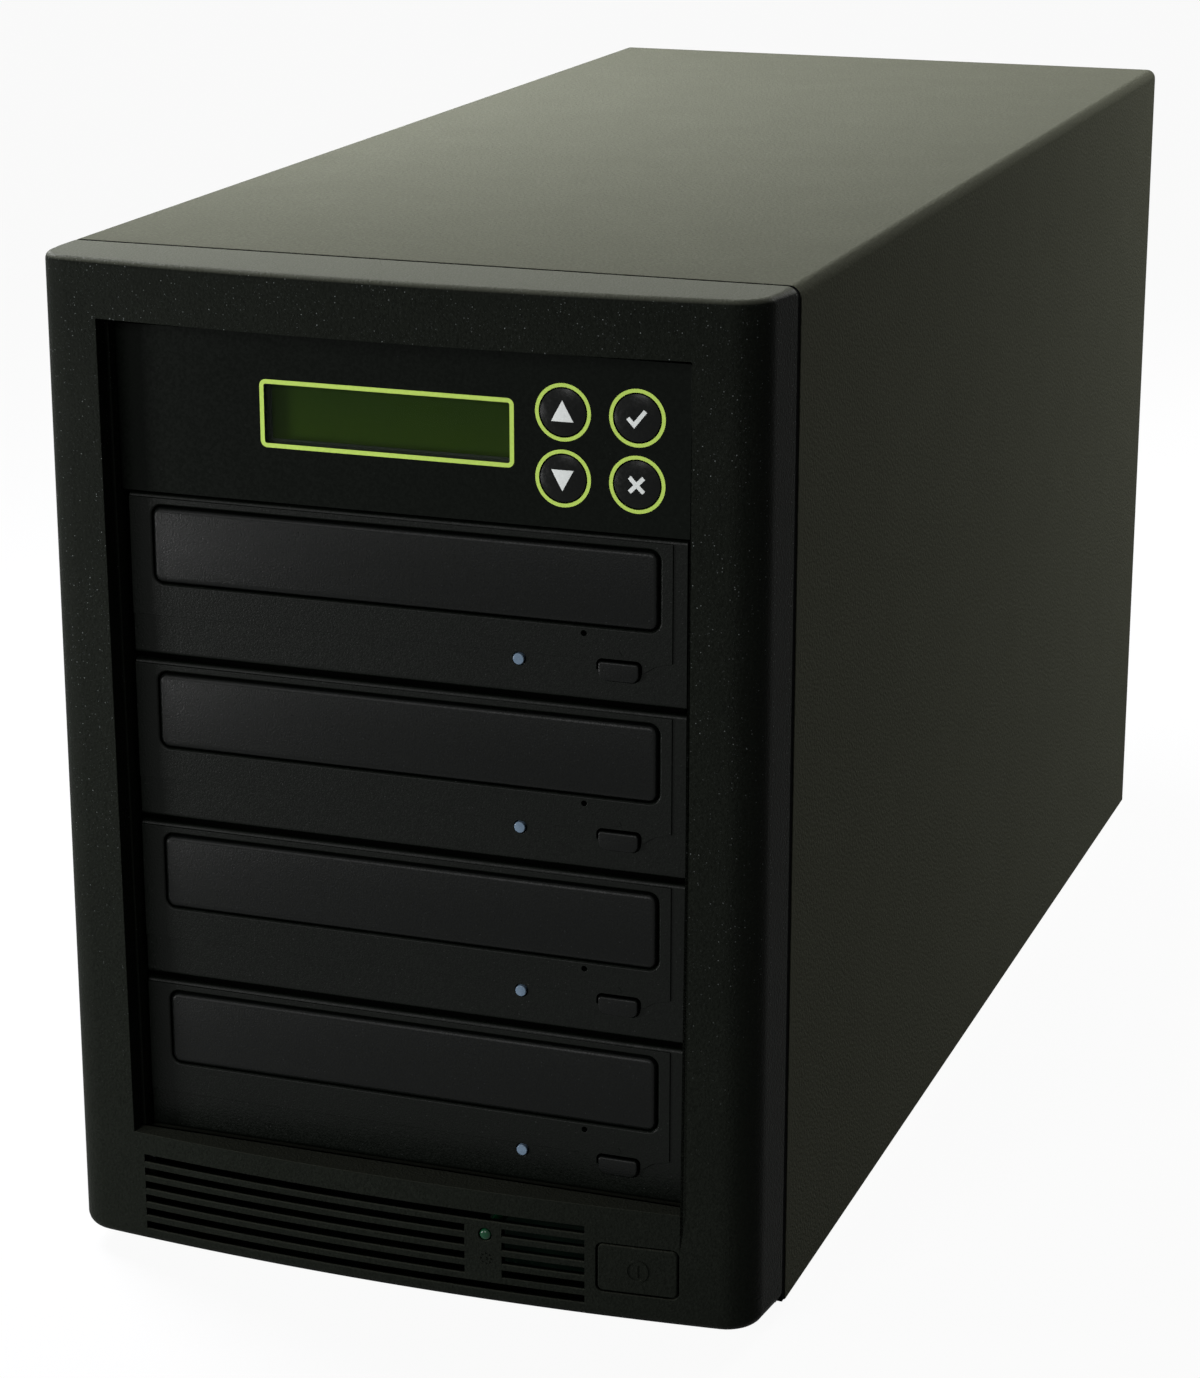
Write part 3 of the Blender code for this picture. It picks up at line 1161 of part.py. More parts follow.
def build_fan_frame():
    front = FAN_BACK - FAN_DEPTH
    square = rounded(0, FAN_CENTRE, FAN_SIZE, FAN_SIZE, FAN_CORNER, 3)
    frame = prism("fan_frame", square, "Y", front, FAN_BACK)
    bore = circle(0, FAN_CENTRE, FAN_BORE_RADIUS)
    cut(frame, prism("bore", bore, "Y", front - OVERRUN, FAN_BACK + OVERRUN))
    for side in (-1, 1):
        for rise in (-1, 1):
            x = side * FAN_HOLE_SPREAD / 2
            z = FAN_CENTRE + rise * FAN_HOLE_SPREAD / 2
            hole = circle(x, z, FAN_HOLE_RADIUS, SMALL_ROUND_STEPS // 2)
            cut(frame, prism("hole", hole, "Y", front - OVERRUN, FAN_BACK + OVERRUN))
    strut_front = FAN_BACK - FAN_MOTOR_DEPTH
    motor = prism("motor", circle(0, FAN_CENTRE, FAN_MOTOR_RADIUS), "Y", strut_front, FAN_BACK - GAP)
    for turn in range(2):
        strut = cross_bar(FAN_BORE_RADIUS + GUARD_WIRE, FAN_STRUT_WIDTH, 45 + 90 * turn)
        bar = prism("strut", strut, "Y", strut_front + GAP, FAN_BACK - 2 * GAP)
        fuse(motor, bar)
    return finish(fuse(frame, motor), "fan_plastic")


def cross_bar(reach, width, angle_deg):
    """Outline of a bar across the fan's centre."""
    angle = math.radians(angle_deg)
    along_x, along_z = math.cos(angle), math.sin(angle)
    points = []
    for far, side in ((-1, -1), (1, -1), (1, 1), (-1, 1)):
        x = far * reach * along_x - side * width / 2 * along_z
        z = far * reach * along_z + side * width / 2 * along_x
        points.append((x, FAN_CENTRE + z))
    return points


def blade(name, turn):
    """One twisted fan blade, from inside the hub to the tip, as rings along its radius."""
    rings = []
    inner = ROTOR_HUB_RADIUS - BLADE_WALL
    reach = ROTOR_DEPTH / 2 - GAP
    for step in range(BLADE_STEPS + 1):
        radius = inner + (ROTOR_RADIUS - inner) * step / BLADE_STEPS
        pitch = math.radians(BLADE_PITCH_DEG) * (1 + step / BLADE_STEPS) / 2
        sweep = turn + math.radians(BLADE_PITCH_DEG) * step / BLADE_STEPS / 2
        ring = []
        for end, face in ((-1, -1), (1, -1), (1, 1), (-1, 1)):
            axial = end * reach * math.cos(pitch) * BLADE_CHORD_SHARE
            side = end * reach * math.sin(pitch) + face * BLADE_WALL / 2
            angle = sweep + side / radius
            ring.append((radius * math.cos(angle), axial, radius * math.sin(angle)))
        rings.append(ring)
    return loft(name, rings)


def build_fan_rotor():
    half = ROTOR_DEPTH / 2
    steps = [(-half, ROTOR_HUB_RADIUS / 12), (-half + BLADE_WALL, 0), (half, 0)]
    rotor = stepped("fan_rotor", round_outline(0, 0, ROTOR_HUB_RADIUS), "Y", steps)
    for number in range(BLADE_COUNT):
        fuse(rotor, blade("blade", 2 * math.pi * number / BLADE_COUNT))
    rotor.location = (0, FAN_BACK - FAN_MOTOR_DEPTH - GAP - half, FAN_CENTRE)
    return finish(rotor, "fan_plastic", 50.0)


def guard_ring(name, radius, low, high):
    """A closed ring of square wire round the fan's centre."""
    rings = []
    for inner, height in ((0, low), (0, high), (GUARD_WIRE, high), (GUARD_WIRE, low)):
        rings.append([(x, height, z) for x, z in circle(0, FAN_CENTRE, radius - inner, GUARD_STEPS)])
    mesh = bpy.data.meshes.new(name)
    body = bmesh.new()
    rows = [[body.verts.new(point) for point in ring] for ring in rings]
    for lower, upper in zip(rows, rows[1:] + rows[:1]):
        for i in range(GUARD_STEPS):
            j = (i + 1) % GUARD_STEPS
            body.faces.new((lower[i], lower[j], upper[j], upper[i]))
    bmesh.ops.recalc_face_normals(body, faces=body.faces)
    body.to_mesh(mesh)
    body.free()
    made = bpy.data.objects.new(name, mesh)
    bpy.context.scene.collection.objects.link(made)
    return made


def build_fan_guard():
    """Wire guard: crossed bars that reach the fan's screws, with rings welded on them."""
    low = REAR_OUTSIDE + GAP
    reach = FAN_HOLE_SPREAD / math.sqrt(2) + SCREW_HEAD_RADIUS
    guard = prism("fan_guard", cross_bar(reach, 2 * GUARD_WIRE, 45), "Y", low, low + GUARD_WIRE)
    fuse(guard, prism("bar", cross_bar(reach, 2 * GUARD_WIRE, 135), "Y", low, low + GUARD_WIRE))
    ring_low = low + GUARD_WIRE - GUARD_BITE
    for number in range(GUARD_RING_COUNT):
        radius = GUARD_OUTER_RADIUS - GUARD_RING_PITCH * number
        fuse(guard, guard_ring("ring", radius, ring_low, ring_low + GUARD_WIRE))
    return finish(guard, "screw_steel")


def build_part():
    clear_scene()
    build_case_cover()
    build_cover_screws()
    build_chassis_base()
    build_feet()
    build_rear_panel()
    build_drive_cage()
    build_front_bezel()
    build_control_panel()
    build_keys()
    build_display()
    build_control_board()
    build_panel_bracket()
    build_power_controls()
    build_drives()
    build_power_supply()
    build_inlet()
    build_rocker_switch()
    build_fan_frame()
    build_fan_rotor()
    build_fan_guard()


build_part()
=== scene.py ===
"""The disc duplicator tower's looks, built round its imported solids.

Metres, +Z up. The front faces -Y. Every mesh is made in the row frame, with its object at the origin.
"""

import math

import bmesh
import bpy
from mathutils import Matrix, Vector


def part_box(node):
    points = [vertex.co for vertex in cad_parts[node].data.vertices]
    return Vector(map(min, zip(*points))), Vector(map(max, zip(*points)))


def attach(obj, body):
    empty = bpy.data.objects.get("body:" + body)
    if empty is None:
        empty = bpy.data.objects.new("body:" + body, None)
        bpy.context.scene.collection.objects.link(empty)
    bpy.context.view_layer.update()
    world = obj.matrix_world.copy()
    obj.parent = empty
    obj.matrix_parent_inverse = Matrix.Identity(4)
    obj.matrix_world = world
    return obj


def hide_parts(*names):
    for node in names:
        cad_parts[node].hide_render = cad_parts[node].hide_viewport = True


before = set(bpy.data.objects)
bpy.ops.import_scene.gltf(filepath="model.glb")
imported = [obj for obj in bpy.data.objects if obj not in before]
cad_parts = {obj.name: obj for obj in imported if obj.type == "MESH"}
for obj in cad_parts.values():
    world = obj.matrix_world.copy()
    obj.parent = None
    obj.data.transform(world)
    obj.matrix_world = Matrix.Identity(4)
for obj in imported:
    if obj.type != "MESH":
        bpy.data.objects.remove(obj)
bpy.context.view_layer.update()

# Camera, from a fit to the corners that the photograph shows
CAMERA_PLACE = (0.3314, -0.9951, 0.4241)
CAMERA_AZIMUTH = 19.711
CAMERA_ELEVATION = 17.078
CAMERA_LENS = 93.17
CAMERA_SENSOR = 36.0
CAMERA_CLIP = (0.01, 50.0)

# Light: a soft key, a low softbox far left, one over the left side, one behind the right side and a fill
WHITE = (1.0, 1.0, 1.0)
KEY_STRENGTH = 1.5
KEY_SPREAD_DEG = 22.0
KEY_FROM = (-0.20, -0.90, 0.36)
LOW_SOFTBOX = {"power": 7.5, "size": 0.20, "place": (-0.66, -0.64, 0.05), "aim": (-0.05, -0.22, 0.05)}
LEFT_SOFTBOX = {"power": 7.5, "size": 0.30, "place": (-0.44, 0.05, 0.58), "aim": (0.0, 0.05, 0.27),
                "tint": (0.965, 0.965, 1.06)}
RIGHT_SOFTBOX = {"power": 5.8, "size": 0.30, "place": (0.33, 0.78, 0.60), "aim": (0.10, 0.24, 0.22)}
FILL = 0.014
FLOOR_RADIUS = 6.0
FLOOR_STEPS = 96
FLOOR_WHITE = 0.90
FLOOR_GREY = 0.06
FLOOR_GLOW = 0.94

# Finishes, with scales per metre, and the places of the colours among the Mix node's sockets
BROAD_SCALE = 45.0
NOISE_SPAN = (0.3, 0.7)
SHINE_SWING = 0.07
SPECK_RADIUS = 0.17
SPECK_CORE = 0.6
# Painted sheen on what faces up: the facing over which it comes in, and the least of it at the low height
SHEEN_FACING = (0.35, 0.98)
SHEEN_LEAST = 0.16
# Painted shade at the display's left end, from its darkest to where it ends
DISPLAY_SHADED_END = (-0.036, -0.030)
DISPLAY_CLOUD_SCALE = 90.0
CRYSTAL_SCALE = 160.0
CRYSTAL_SHADES = (0.86, 1.08)
CRYSTAL_SHINE_SWING = 0.08
STREAK_SCALE = 900.0
STREAK_STRETCH = (1.0, 1.0, 0.15)
TRACK_SCALE = 420.0
TRACK_EDGE = (0.28, 0.32)
TRACK_DEPTH = 0.00002
HAZE_SCALE = 60.0
HAZE_SHINE = (0.05, 0.12)
PANE_GLOSS = 0.06
CLOUD_SCALE = 700.0
FAINT_DEPTH = 0.00001
MIX_COLOUR_A = 6
MIX_COLOUR_B = 7
MIX_COLOUR_RESULT = 2

# Clearances
GAP = 0.0003
OVERRUN = 0.004

# Steps of round forms
ARC_STEPS = 8
EDGE_STEPS = 8
CAP_EDGE_STEPS = 5
BOW_STEPS = 40
ROUND_STEPS = 64
SMALL_STEPS = 32
CAP_CREASE_DEG = 40.0

# Rounding of edges
SHARP_EDGE = 0.00012
SOFT_EDGE = 0.00025
BUTTON_EDGE = 0.00045
MOUTH_EDGE = 0.0002
WELD = 0.00001
FACE_WEIGHT = 80

# Case
COVER_WALL = 0.0012
COVER_BEND_RADIUS = 0.0028
COVER_FLANGE = 0.0160
SCREW_HOLE_RADIUS = 0.0020

# Feet: rise and share of the radius in the groove underneath, rise and inset along the edge
FOOT_GROOVE = ((0.0, 0.55), (0.0004, 0.5), (0.0, 0.45))
FOOT_EDGE = ((0.0, 0.0012), (0.0004, 0.0004), (0.0012, 0.0))
FOOT_TOP_INSET = 0.0006

# Front bezel
BEZEL_WALL = 0.0025
BEZEL_DRAFT = 0.0012
BEZEL_CORNER_RADIUS = 0.0100
BEZEL_EDGE_RADIUS = 0.0035
BEZEL_TOP_RADIUS = 0.0018
BEZEL_SHOULDER = 0.0028
LIP_WALL = 0.0016
LIP_OVERLAP = 0.0010
BAFFLE_WALL = 0.0012
BAFFLE_HALF = 0.0850
SEAM_GAP = 0.0020
SEAM_RIB_FALL = 0.0001
SEAM_FALL = 0.0001
BEZEL_STEP = 0.0002
SEAM_CLEARANCE = 0.0004
BOW_RADIUS = 0.7800
OPENING_SIDE_GAP = 0.0032
OPENING_HEIGHT = 0.2183
OPENING_STEP = 0.0005
OPENING_SIDE_STEP = 0.0010
OPENING_LEAN = 0.0015
OPENING_STEP_DEPTH = 0.0030
TUNNEL_WALL = 0.0022
TUNNEL_LENGTH = 0.0060
LEDGE_DROP = 0.0021
LEDGE_RISE = 0.0012
LEDGE_GROOVE = 0.0008
LEDGE_GROOVE_DEPTH = 0.0020
LEDGE_STEPS = 24
BAY_LIFT = 0.0002

# Louvre slots, power button and its light
SLOT_COUNT = 6
SLOT_PITCH = 0.00385
SLOT_HEIGHT = 0.00205
SLOT_CHAMFER = 0.0002
SLOT_LIP = 0.0005
SLOT_DEPTH = 0.0045
SLOT_FLARE = 0.0007
SLOT_STEPS = 16
SLOT_LEFT = -0.0729
SLOT_RIGHT = 0.0512
SLOT_ISLAND = (0.0191, 0.0291)
POWER_CENTRE = (0.06495, 0.01980)
POWER_SIZE = (0.0207, 0.0127)
POWER_CORNER = 0.0014
POWER_GAP = 0.0005
POWER_CAP_DEPTH = 0.0070
POWER_FLANGE = 0.0010
POWER_LIGHT = (0.0247, 0.0245)
POWER_LIGHT_RADIUS = 0.0015
LENS_DOME = 0.0008
LENS_CROWN = 0.96
SYMBOL_RADIUS = 0.0030
SYMBOL_STROKE = 0.00050
SYMBOL_RISE = 0.00025
SYMBOL_BAR = 0.0034
DOT_RING_RADIUS = 0.0014
DOT_RADIUS = 0.00026
DOT_COUNT = 8
DOT_STEPS = 12
CORE_STEPS = 16
DOTS_BELOW_LIGHT = 0.0066

# Strips in the gaps between the drives, painted near black as painted shade
GAP_STRIP_INSET = 0.0010
GAP_STRIP_DEPTH = 0.0022
GAP_STRIP_WALL = 0.0008
GAP_STRIP_LAP = 0.0002

# Drives, from the middle of a fascia's lower edge
FASCIA_WALL = 0.0030
FASCIA_RELIEF = 0.0004
FASCIA_CHAMFER = 0.0010
FASCIA_STEP_INSET = 0.0036
RELIEF_HEIGHT = 0.0104
RELIEF_DIP = 0.0024
DOOR_CENTRE = (-0.00035, 0.0290)
DOOR_SIZE = (0.1341, 0.0194)
DOOR_CORNER = 0.0022
DOOR_WALL = 0.0022
DOOR_EDGE = ((0.0, 0.00105), (0.00004, 0.00085), (0.00016, 0.00055), (0.00034, 0.00030), (0.00060, 0.00012),
             (0.00095, 0.0))
DOOR_GAP = 0.0005
DOOR_LIP = 0.00045
EJECT_CENTRE = (0.0568, 0.0080)
EJECT_SIZE = (0.0105, 0.0048)
EJECT_TOP_CORNER = 0.0009
EJECT_LOW_CORNER = 0.0021
EJECT_PROUD = 0.0008
EJECT_EDGE = 0.0005
CAP_FLANGE = 0.0008
CAP_FLANGE_WALL = 0.0010
DRIVE_LIGHT = (0.0307, 0.0087)
DRIVE_LIGHT_RADIUS = 0.00145
LIGHT_PROUD = 0.0002
LIGHT_EDGE = 0.00025
PINHOLE = (0.0477, 0.0169)
PINHOLE_RADIUS = 0.00075
MARK_RISE = 0.00008
MARK_ABOVE_EJECT = 0.0042
MARK_WIDTH = 0.0015
MARK_HEIGHT = 0.00105
MARK_STROKE = 0.00022
MARK_BAR = (2.5, 1.5)

# Trays
DISC_WELL_RADIUS = 0.0605
DISC_WELL_DEPTH = 0.0022
SMALL_WELL_RADIUS = 0.0405
SMALL_WELL_DEPTH = 0.0010
TRAY_RIM = 0.0040
TRAY_CORNER = 0.0040
TRAY_SLOT_WIDTH = 0.0380
TRAY_SLOT_INSET = 0.0045
TRAY_SLOT_CORNER = 0.0150
TRAY_CHAMFER = 0.0008
TRAY_EDGE = 0.0004
FINGER_RADIUS = 0.0110
FINGER_INSET = 0.0015
FINGER_FORWARD = 0.0020

# Control panel, display and keys
PANEL_WALL = 0.0030
PANEL_CORNER = 0.0008
PANEL_LEFT_REACH = 0.0014
PANEL_TOP_DROP = 0.0020
WINDOW_CENTRE = (-0.0035, 0.2314)
WINDOW_SIZE = (0.0654, 0.0156)
WINDOW_CORNER = 0.0012
WINDOW_WALL = 0.0012
CELL_INSET = 0.0005
CELL_DEPTH = 0.0008
CELL_WALL = 0.0004
PRINT_WALL = 0.00006
PRINT_FRAME_SIZE = (0.0669, 0.0171)
PRINT_FRAME_CORNER = 0.0017
PRINT_STROKE = 0.0011
RING_RADIUS = 0.0071
RING_STROKE = 0.00092
KEY_RADIUS = 0.0058
KEY_DOME = 0.0006
DOME_STEPS = 12
DOME_POWER = 2.4
DOME_RIM = 0.0002
KEY_STEM_RADIUS = 0.0020
KEY_STEM_BACK = 0.0104
ARROW_HALF = 0.00285
ARROW_HEIGHT = 0.0052
ARROW_BASE = 0.42
GLYPH_STROKE = 0.00105
GLYPH_HALF = 0.0022
TICK = ((-GLYPH_HALF, 0), (-GLYPH_HALF * 0.3, -GLYPH_HALF * 0.75), (GLYPH_HALF, GLYPH_HALF * 0.85))
CROSS_SHARE = 0.82
MITRE_LIMIT = 0.3

# Rear: fan, its guard and the vents
SUPPLY_WINDOW_RIM = 0.0040
FAN_SIZE = 0.0800
FAN_CORNER = 0.0045
FAN_BORE_RADIUS = 0.0380
FAN_BARREL_WALL = 0.0018
FAN_RIM = 0.0040
FAN_STEPS = 96
FAN_HOLE_SPREAD = 0.0715
FAN_HOLE_RADIUS = 0.0021
FAN_MOTOR_RADIUS = 0.0170
FAN_MOTOR_DEPTH = 0.0040
FAN_STRUT_WIDTH = 0.0035
STRUT_OVERLAP = 0.0010
ROTOR_HUB_RADIUS = 0.0165
ROTOR_RADIUS = 0.0368
BLADE_COUNT = 7
BLADE_WALL = 0.0014
BLADE_PITCH_DEG = 38.0
BLADE_STEPS = 12
BLADE_CHORD_SHARE = 0.9
BLADE_PROFILE = ((-1.0, 0.0), (-0.6, -0.5), (0.0, -0.55), (0.6, -0.45), (1.0, 0.0), (0.6, 0.35), (0.0, 0.5),
                 (-0.6, 0.45))
GUARD_WIRE_RADIUS = 0.00075
GUARD_RINGS = (0.0375, 0.0290, 0.0205, 0.0120)
GUARD_OVERLAP = 0.0010
SPOKE_HALF = 0.0011
HOOK_MARGIN = 0.0006
HOOK_STEPS = 24
REAR_VENT_COUNT = 5
REAR_VENT_PITCH = 0.0080
REAR_VENT_SIZE = (0.0800, 0.0030)
REAR_VENT_ABOVE_FAN = 0.0100
SCREW_HEAD_RADIUS = 0.0036
SCREW_HEAD_HEIGHT = 0.0020
SCREW_SHANK = (0.0016, 0.0060)
HEAD_SIDE = 0.35
HEAD_CROWN = 0.55
FAN_SCREW_RADIUS = 0.0033
FAN_SCREW_SINK = 0.0010
CROSS_WIDTH = 0.0009
CROSS_REACH = 0.0020
CROSS_DEPTH = 0.0011

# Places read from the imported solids
BEZEL_LOW, BEZEL_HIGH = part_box("front_bezel")
COVER_LOW, COVER_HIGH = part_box("case_cover")
REAR_LOW, REAR_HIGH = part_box("rear_panel")
PANEL_LOW, PANEL_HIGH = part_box("control_panel")
FRONT = BEZEL_LOW.y
BOW_CENTRE = FRONT + BOW_RADIUS
BEZEL_HALF = COVER_HIGH.x - BEZEL_STEP
BEZEL_TOP = COVER_HIGH.z
SEAM = COVER_LOW.y - SEAM_GAP
LIP_HALF = COVER_HIGH.x - COVER_WALL - SEAM_CLEARANCE
LIP_TOP = COVER_HIGH.z - COVER_WALL - SEAM_CLEARANCE
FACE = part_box("drive_1_fascia")[0].y
BAY_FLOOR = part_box("drive_4_fascia")[0].z - BAY_LIFT
OPENING_TOP = BAY_FLOOR + OPENING_HEIGHT
OPENING_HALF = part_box("drive_1_fascia")[1].x + OPENING_SIDE_GAP
POWER_Z = POWER_CENTRE[1]
FAN_CENTRE = sum(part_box("fan_frame"), Vector()).z / 2
BAYS = (1, 2, 3, 4)
KEYS = ("up", "down", "enter", "escape")


# Solids

def new_object(name, data):
    made = bpy.data.objects.new(name, data)
    bpy.context.scene.collection.objects.link(made)
    return made


def solid_of(name, body):
    """An object from what was built in the given bmesh, which is freed."""
    mesh = bpy.data.meshes.new(name)
    body.to_mesh(mesh)
    body.free()
    return new_object(name, mesh)


def along(axis, first, second, height):
    """A point of an outline, raised along an axis: X takes (y, z), Y takes (x, z) and Z takes (x, y)."""
    point = [first, second]
    point.insert("XYZ".index(axis), height)
    return Vector(point)


def loft(name, rings, looped=False):
    """A closed solid through rings with the same number of points, with end faces unless it is looped."""
    body = bmesh.new()
    rows = [[body.verts.new(point) for point in ring] for ring in rings]
    pairs = list(zip(rows, rows[1:]))
    if looped:
        pairs.append((rows[-1], rows[0]))
    for lower, upper in pairs:
        for i in range(len(lower)):
            j = (i + 1) % len(lower)
            body.faces.new((lower[i], lower[j], upper[j], upper[i]))
    if not looped:
        body.faces.new(reversed(rows[0]))
        body.faces.new(rows[-1])
    bmesh.ops.recalc_face_normals(body, faces=body.faces)
    return solid_of(name, body)


def prism(name, outline, axis, low, high):
    return loft(name, [[along(axis, *point, height) for point in outline] for height in (low, high)])


def stepped(name, outline, axis, steps):
    """A solid whose outline is drawn in by the inset given at each height."""
    return loft(name, [[along(axis, *point, height) for point in outline(inset)] for height, inset in steps])


def band(name, outer, inner, low, high):
    """A flat closed band in the X-Z plane between two outlines with as many points each."""
    edges = ((outer, low), (outer, high), (inner, high), (inner, low))
    return loft(name, [[(x, height, z) for x, z in outline] for outline, height in edges], looped=True)


def box(name, low, high):
    outline = [(low[0], low[1]), (high[0], low[1]), (high[0], high[1]), (low[0], high[1])]
    return prism(name, outline, "Z", low[2], high[2])


def settle(made):
    """Takes the modifiers' result into the mesh."""
    bpy.context.view_layer.update()
    graph = bpy.context.evaluated_depsgraph_get()
    result = bpy.data.meshes.new_from_object(made.evaluated_get(graph))
    made.modifiers.clear()
    made.data = result
    return made


def combine(target, tool, operation):
    """Boolean of two solids, kept in the first. The second is used up."""
    step = target.modifiers.new(tool.name, "BOOLEAN")
    step.operation = operation
    step.solver = "EXACT"
    step.object = tool
    settle(target)
    bpy.data.objects.remove(tool, do_unlink=True)
    return target


def cut(target, tool):
    return combine(target, tool, "DIFFERENCE")


def fuse(target, tool):
    return combine(target, tool, "UNION")


def common(target, tool):
    return combine(target, tool, "INTERSECT")


def pierce(target, outlines, low, high, axis="Y"):
    """Cuts a hole of each outline along an axis."""
    for outline in outlines:
        cut(target, prism("hole", outline, axis, low, high))


def soften(made, width, segments=3, limit_deg=31.0):
    """Rounds the edges and evens the shading over them."""
    edge = made.modifiers.new("round_edges", "BEVEL")
    edge.width = width
    edge.segments = segments
    edge.limit_method = "ANGLE"
    edge.angle_limit = math.radians(limit_deg)
    edge.use_clamp_overlap = False
    edge.miter_outer = "MITER_ARC"
    return even(made)


def even(made):
    normals = made.modifiers.new("even_normals", "WEIGHTED_NORMAL")
    normals.keep_sharp = True
    normals.weight = FACE_WEIGHT
    return made


def smooth(made, crease_deg=35.0):
    made.data.shade_smooth()
    made.data.set_sharp_from_angle(angle=math.radians(crease_deg))
    return made


def rounded_solid(made, width, segments=3):
    made.data.shade_smooth()
    return settle(soften(made, width, segments))


def moved_copy(made, name, offset):
    """A copy whose mesh is moved, so that its object stays at the origin."""
    mesh = made.data.copy()
    mesh.transform(Matrix.Translation(offset))
    return new_object(name, mesh)


def joined(name, parts):
    """One object from several separate solids."""
    body = bmesh.new()
    for part in parts:
        body.from_mesh(part.data)
        bpy.data.objects.remove(part, do_unlink=True)
    return solid_of(name, body)


# Outlines

def arc(centre_x, centre_y, radius, start_deg, end_deg, steps):
    points = []
    for i in range(steps + 1):
        angle = math.radians(start_deg + (end_deg - start_deg) * i / steps)
        points.append((centre_x + radius * math.cos(angle), centre_y + radius * math.sin(angle)))
    return points


def circle(centre_x, centre_y, radius, steps=ROUND_STEPS):
    return arc(centre_x, centre_y, radius, 0, 360, steps)[:-1]


def round_outline(centre_x, centre_y, radius, steps=ROUND_STEPS):
    return lambda inset: circle(centre_x, centre_y, radius - inset, steps)


def grown(size, margin):
    return size[0] + 2 * margin, size[1] + 2 * margin


def capped_rectangle(centre, size, top_corner, low_corner):
    """Outline of a rectangle whose upper and lower corners have their own radii."""
    right, left = centre[0] + size[0] / 2, centre[0] - size[0] / 2
    top, low = centre[1] + size[1] / 2, centre[1] - size[1] / 2
    points = arc(right - low_corner, low + low_corner, low_corner, -90, 0, ARC_STEPS)
    points += arc(right - top_corner, top - top_corner, top_corner, 0, 90, ARC_STEPS)
    points += arc(left + top_corner, top - top_corner, top_corner, 90, 180, ARC_STEPS)
    return points + arc(left + low_corner, low + low_corner, low_corner, 180, 270, ARC_STEPS)


def rounded(centre, size, corner):
    return capped_rectangle(centre, size, corner, corner)


def capped_outline(centre, size, top_corner, low_corner):
    def outline(inset):
        corners = [max(corner - inset, corner / 4) for corner in (top_corner, low_corner)]
        return capped_rectangle(centre, grown(size, -inset), *corners)
    return outline


def rounded_outline(centre, size, corner):
    return capped_outline(centre, size, corner, corner)


def mirrored(points):
    return points + [(-x, y) for x, y in reversed(points)]


def hood(half, top, radius, low):
    return mirrored([(half, low)] + arc(half - radius, top - radius, radius, 0, 90, ARC_STEPS))


def quarter_turns(steps):
    return [math.radians(90 * i / steps) for i in range(steps + 1)]


def edge_round(radius, steps=EDGE_STEPS):
    """Rise and inset of each ring of a round edge."""
    return [(radius * (1 - math.cos(turn)), radius * (1 - math.sin(turn))) for turn in quarter_turns(steps)]


def edge_steps(face, radius, back):
    """Heights and insets of a quarter round that ends a solid at face, then its straight side to back."""
    return [(face + rise, inset) for rise, inset in edge_round(radius, CAP_EDGE_STEPS)] + [(back, 0)]


# Finishes

def fill(tree, node, inputs):
    """Gives a node's inputs their values. A value that is another node's output is linked."""
    for key, value in inputs.items():
        socket = node.inputs[key]
        if isinstance(value, bpy.types.NodeSocket):
            tree.links.new(value, socket)
        else:
            socket.default_value = (*value, 1.0) if socket.type == "RGBA" else value


def new_node(tree, kind, inputs, **settings):
    node = tree.nodes.new("ShaderNode" + kind)
    for key, value in settings.items():
        setattr(node, key, value)
    fill(tree, node, inputs)
    return node


def own_place(tree):
    """The shaded point in the part's own coordinates."""
    return new_node(tree, "TexCoord", {}).outputs["Object"]


def axis_of(tree, vector, axis="Z"):
    return new_node(tree, "SeparateXYZ", {"Vector": vector}).outputs[axis]


def texture(tree, kind, scale, stretch=(1, 1, 1), **inputs):
    """A texture in the part's own coordinates, with its scale per metre."""
    mapping = new_node(tree, "Mapping", {"Vector": own_place(tree), "Scale": stretch})
    return new_node(tree, "Tex" + kind, {"Vector": mapping.outputs["Vector"], "Scale": scale, **inputs})


def noise(tree, scale, detail, stretch=(1, 1, 1), **inputs):
    return texture(tree, "Noise", scale, stretch, Detail=detail, **inputs).outputs["Fac"]


def ranged(tree, source, low, high, to_low, to_high):
    limits = {"From Min": low, "From Max": high, "To Min": to_low, "To Max": to_high}
    return new_node(tree, "MapRange", {"Value": source, **limits}).outputs["Result"]


def mixed(tree, factor, first, second):
    """Mix of two colours, each a socket or an RGB triple."""
    inputs = {"Factor": factor, MIX_COLOUR_A: first, MIX_COLOUR_B: second}
    return new_node(tree, "Mix", inputs, data_type="RGBA").outputs[MIX_COLOUR_RESULT]


def maths(tree, operation, *sources):
    return new_node(tree, "Math", dict(enumerate(sources)), operation=operation).outputs["Value"]


def product(tree, first, second):
    return maths(tree, "MULTIPLY", first, second)


def channel(tree, colour, name):
    return new_node(tree, "SeparateColor", {"Color": colour}).outputs[name]


def scaled(colour, share):
    return tuple(part * share for part in colour)


def bare_finish(name):
    """A new material, its node tree and its shader."""
    made = bpy.data.materials.new(name)
    made.use_nodes = True
    return made, made.node_tree, made.node_tree.nodes["Principled BSDF"]


def new_finish(name, colour, roughness, metallic=0.0, specular=0.5):
    made, tree, shader = bare_finish(name)
    fill(tree, shader, {"Base Color": colour, "Roughness": roughness, "Metallic": metallic,
                        "Specular IOR Level": specular})
    made.diffuse_color = (*colour, 1.0)
    return made, tree, shader


def relief(tree, shader, height, depth):
    bump = new_node(tree, "Bump", {"Strength": 1.0, "Distance": depth, "Height": height})
    fill(tree, shader, {"Normal": bump.outputs["Normal"]})


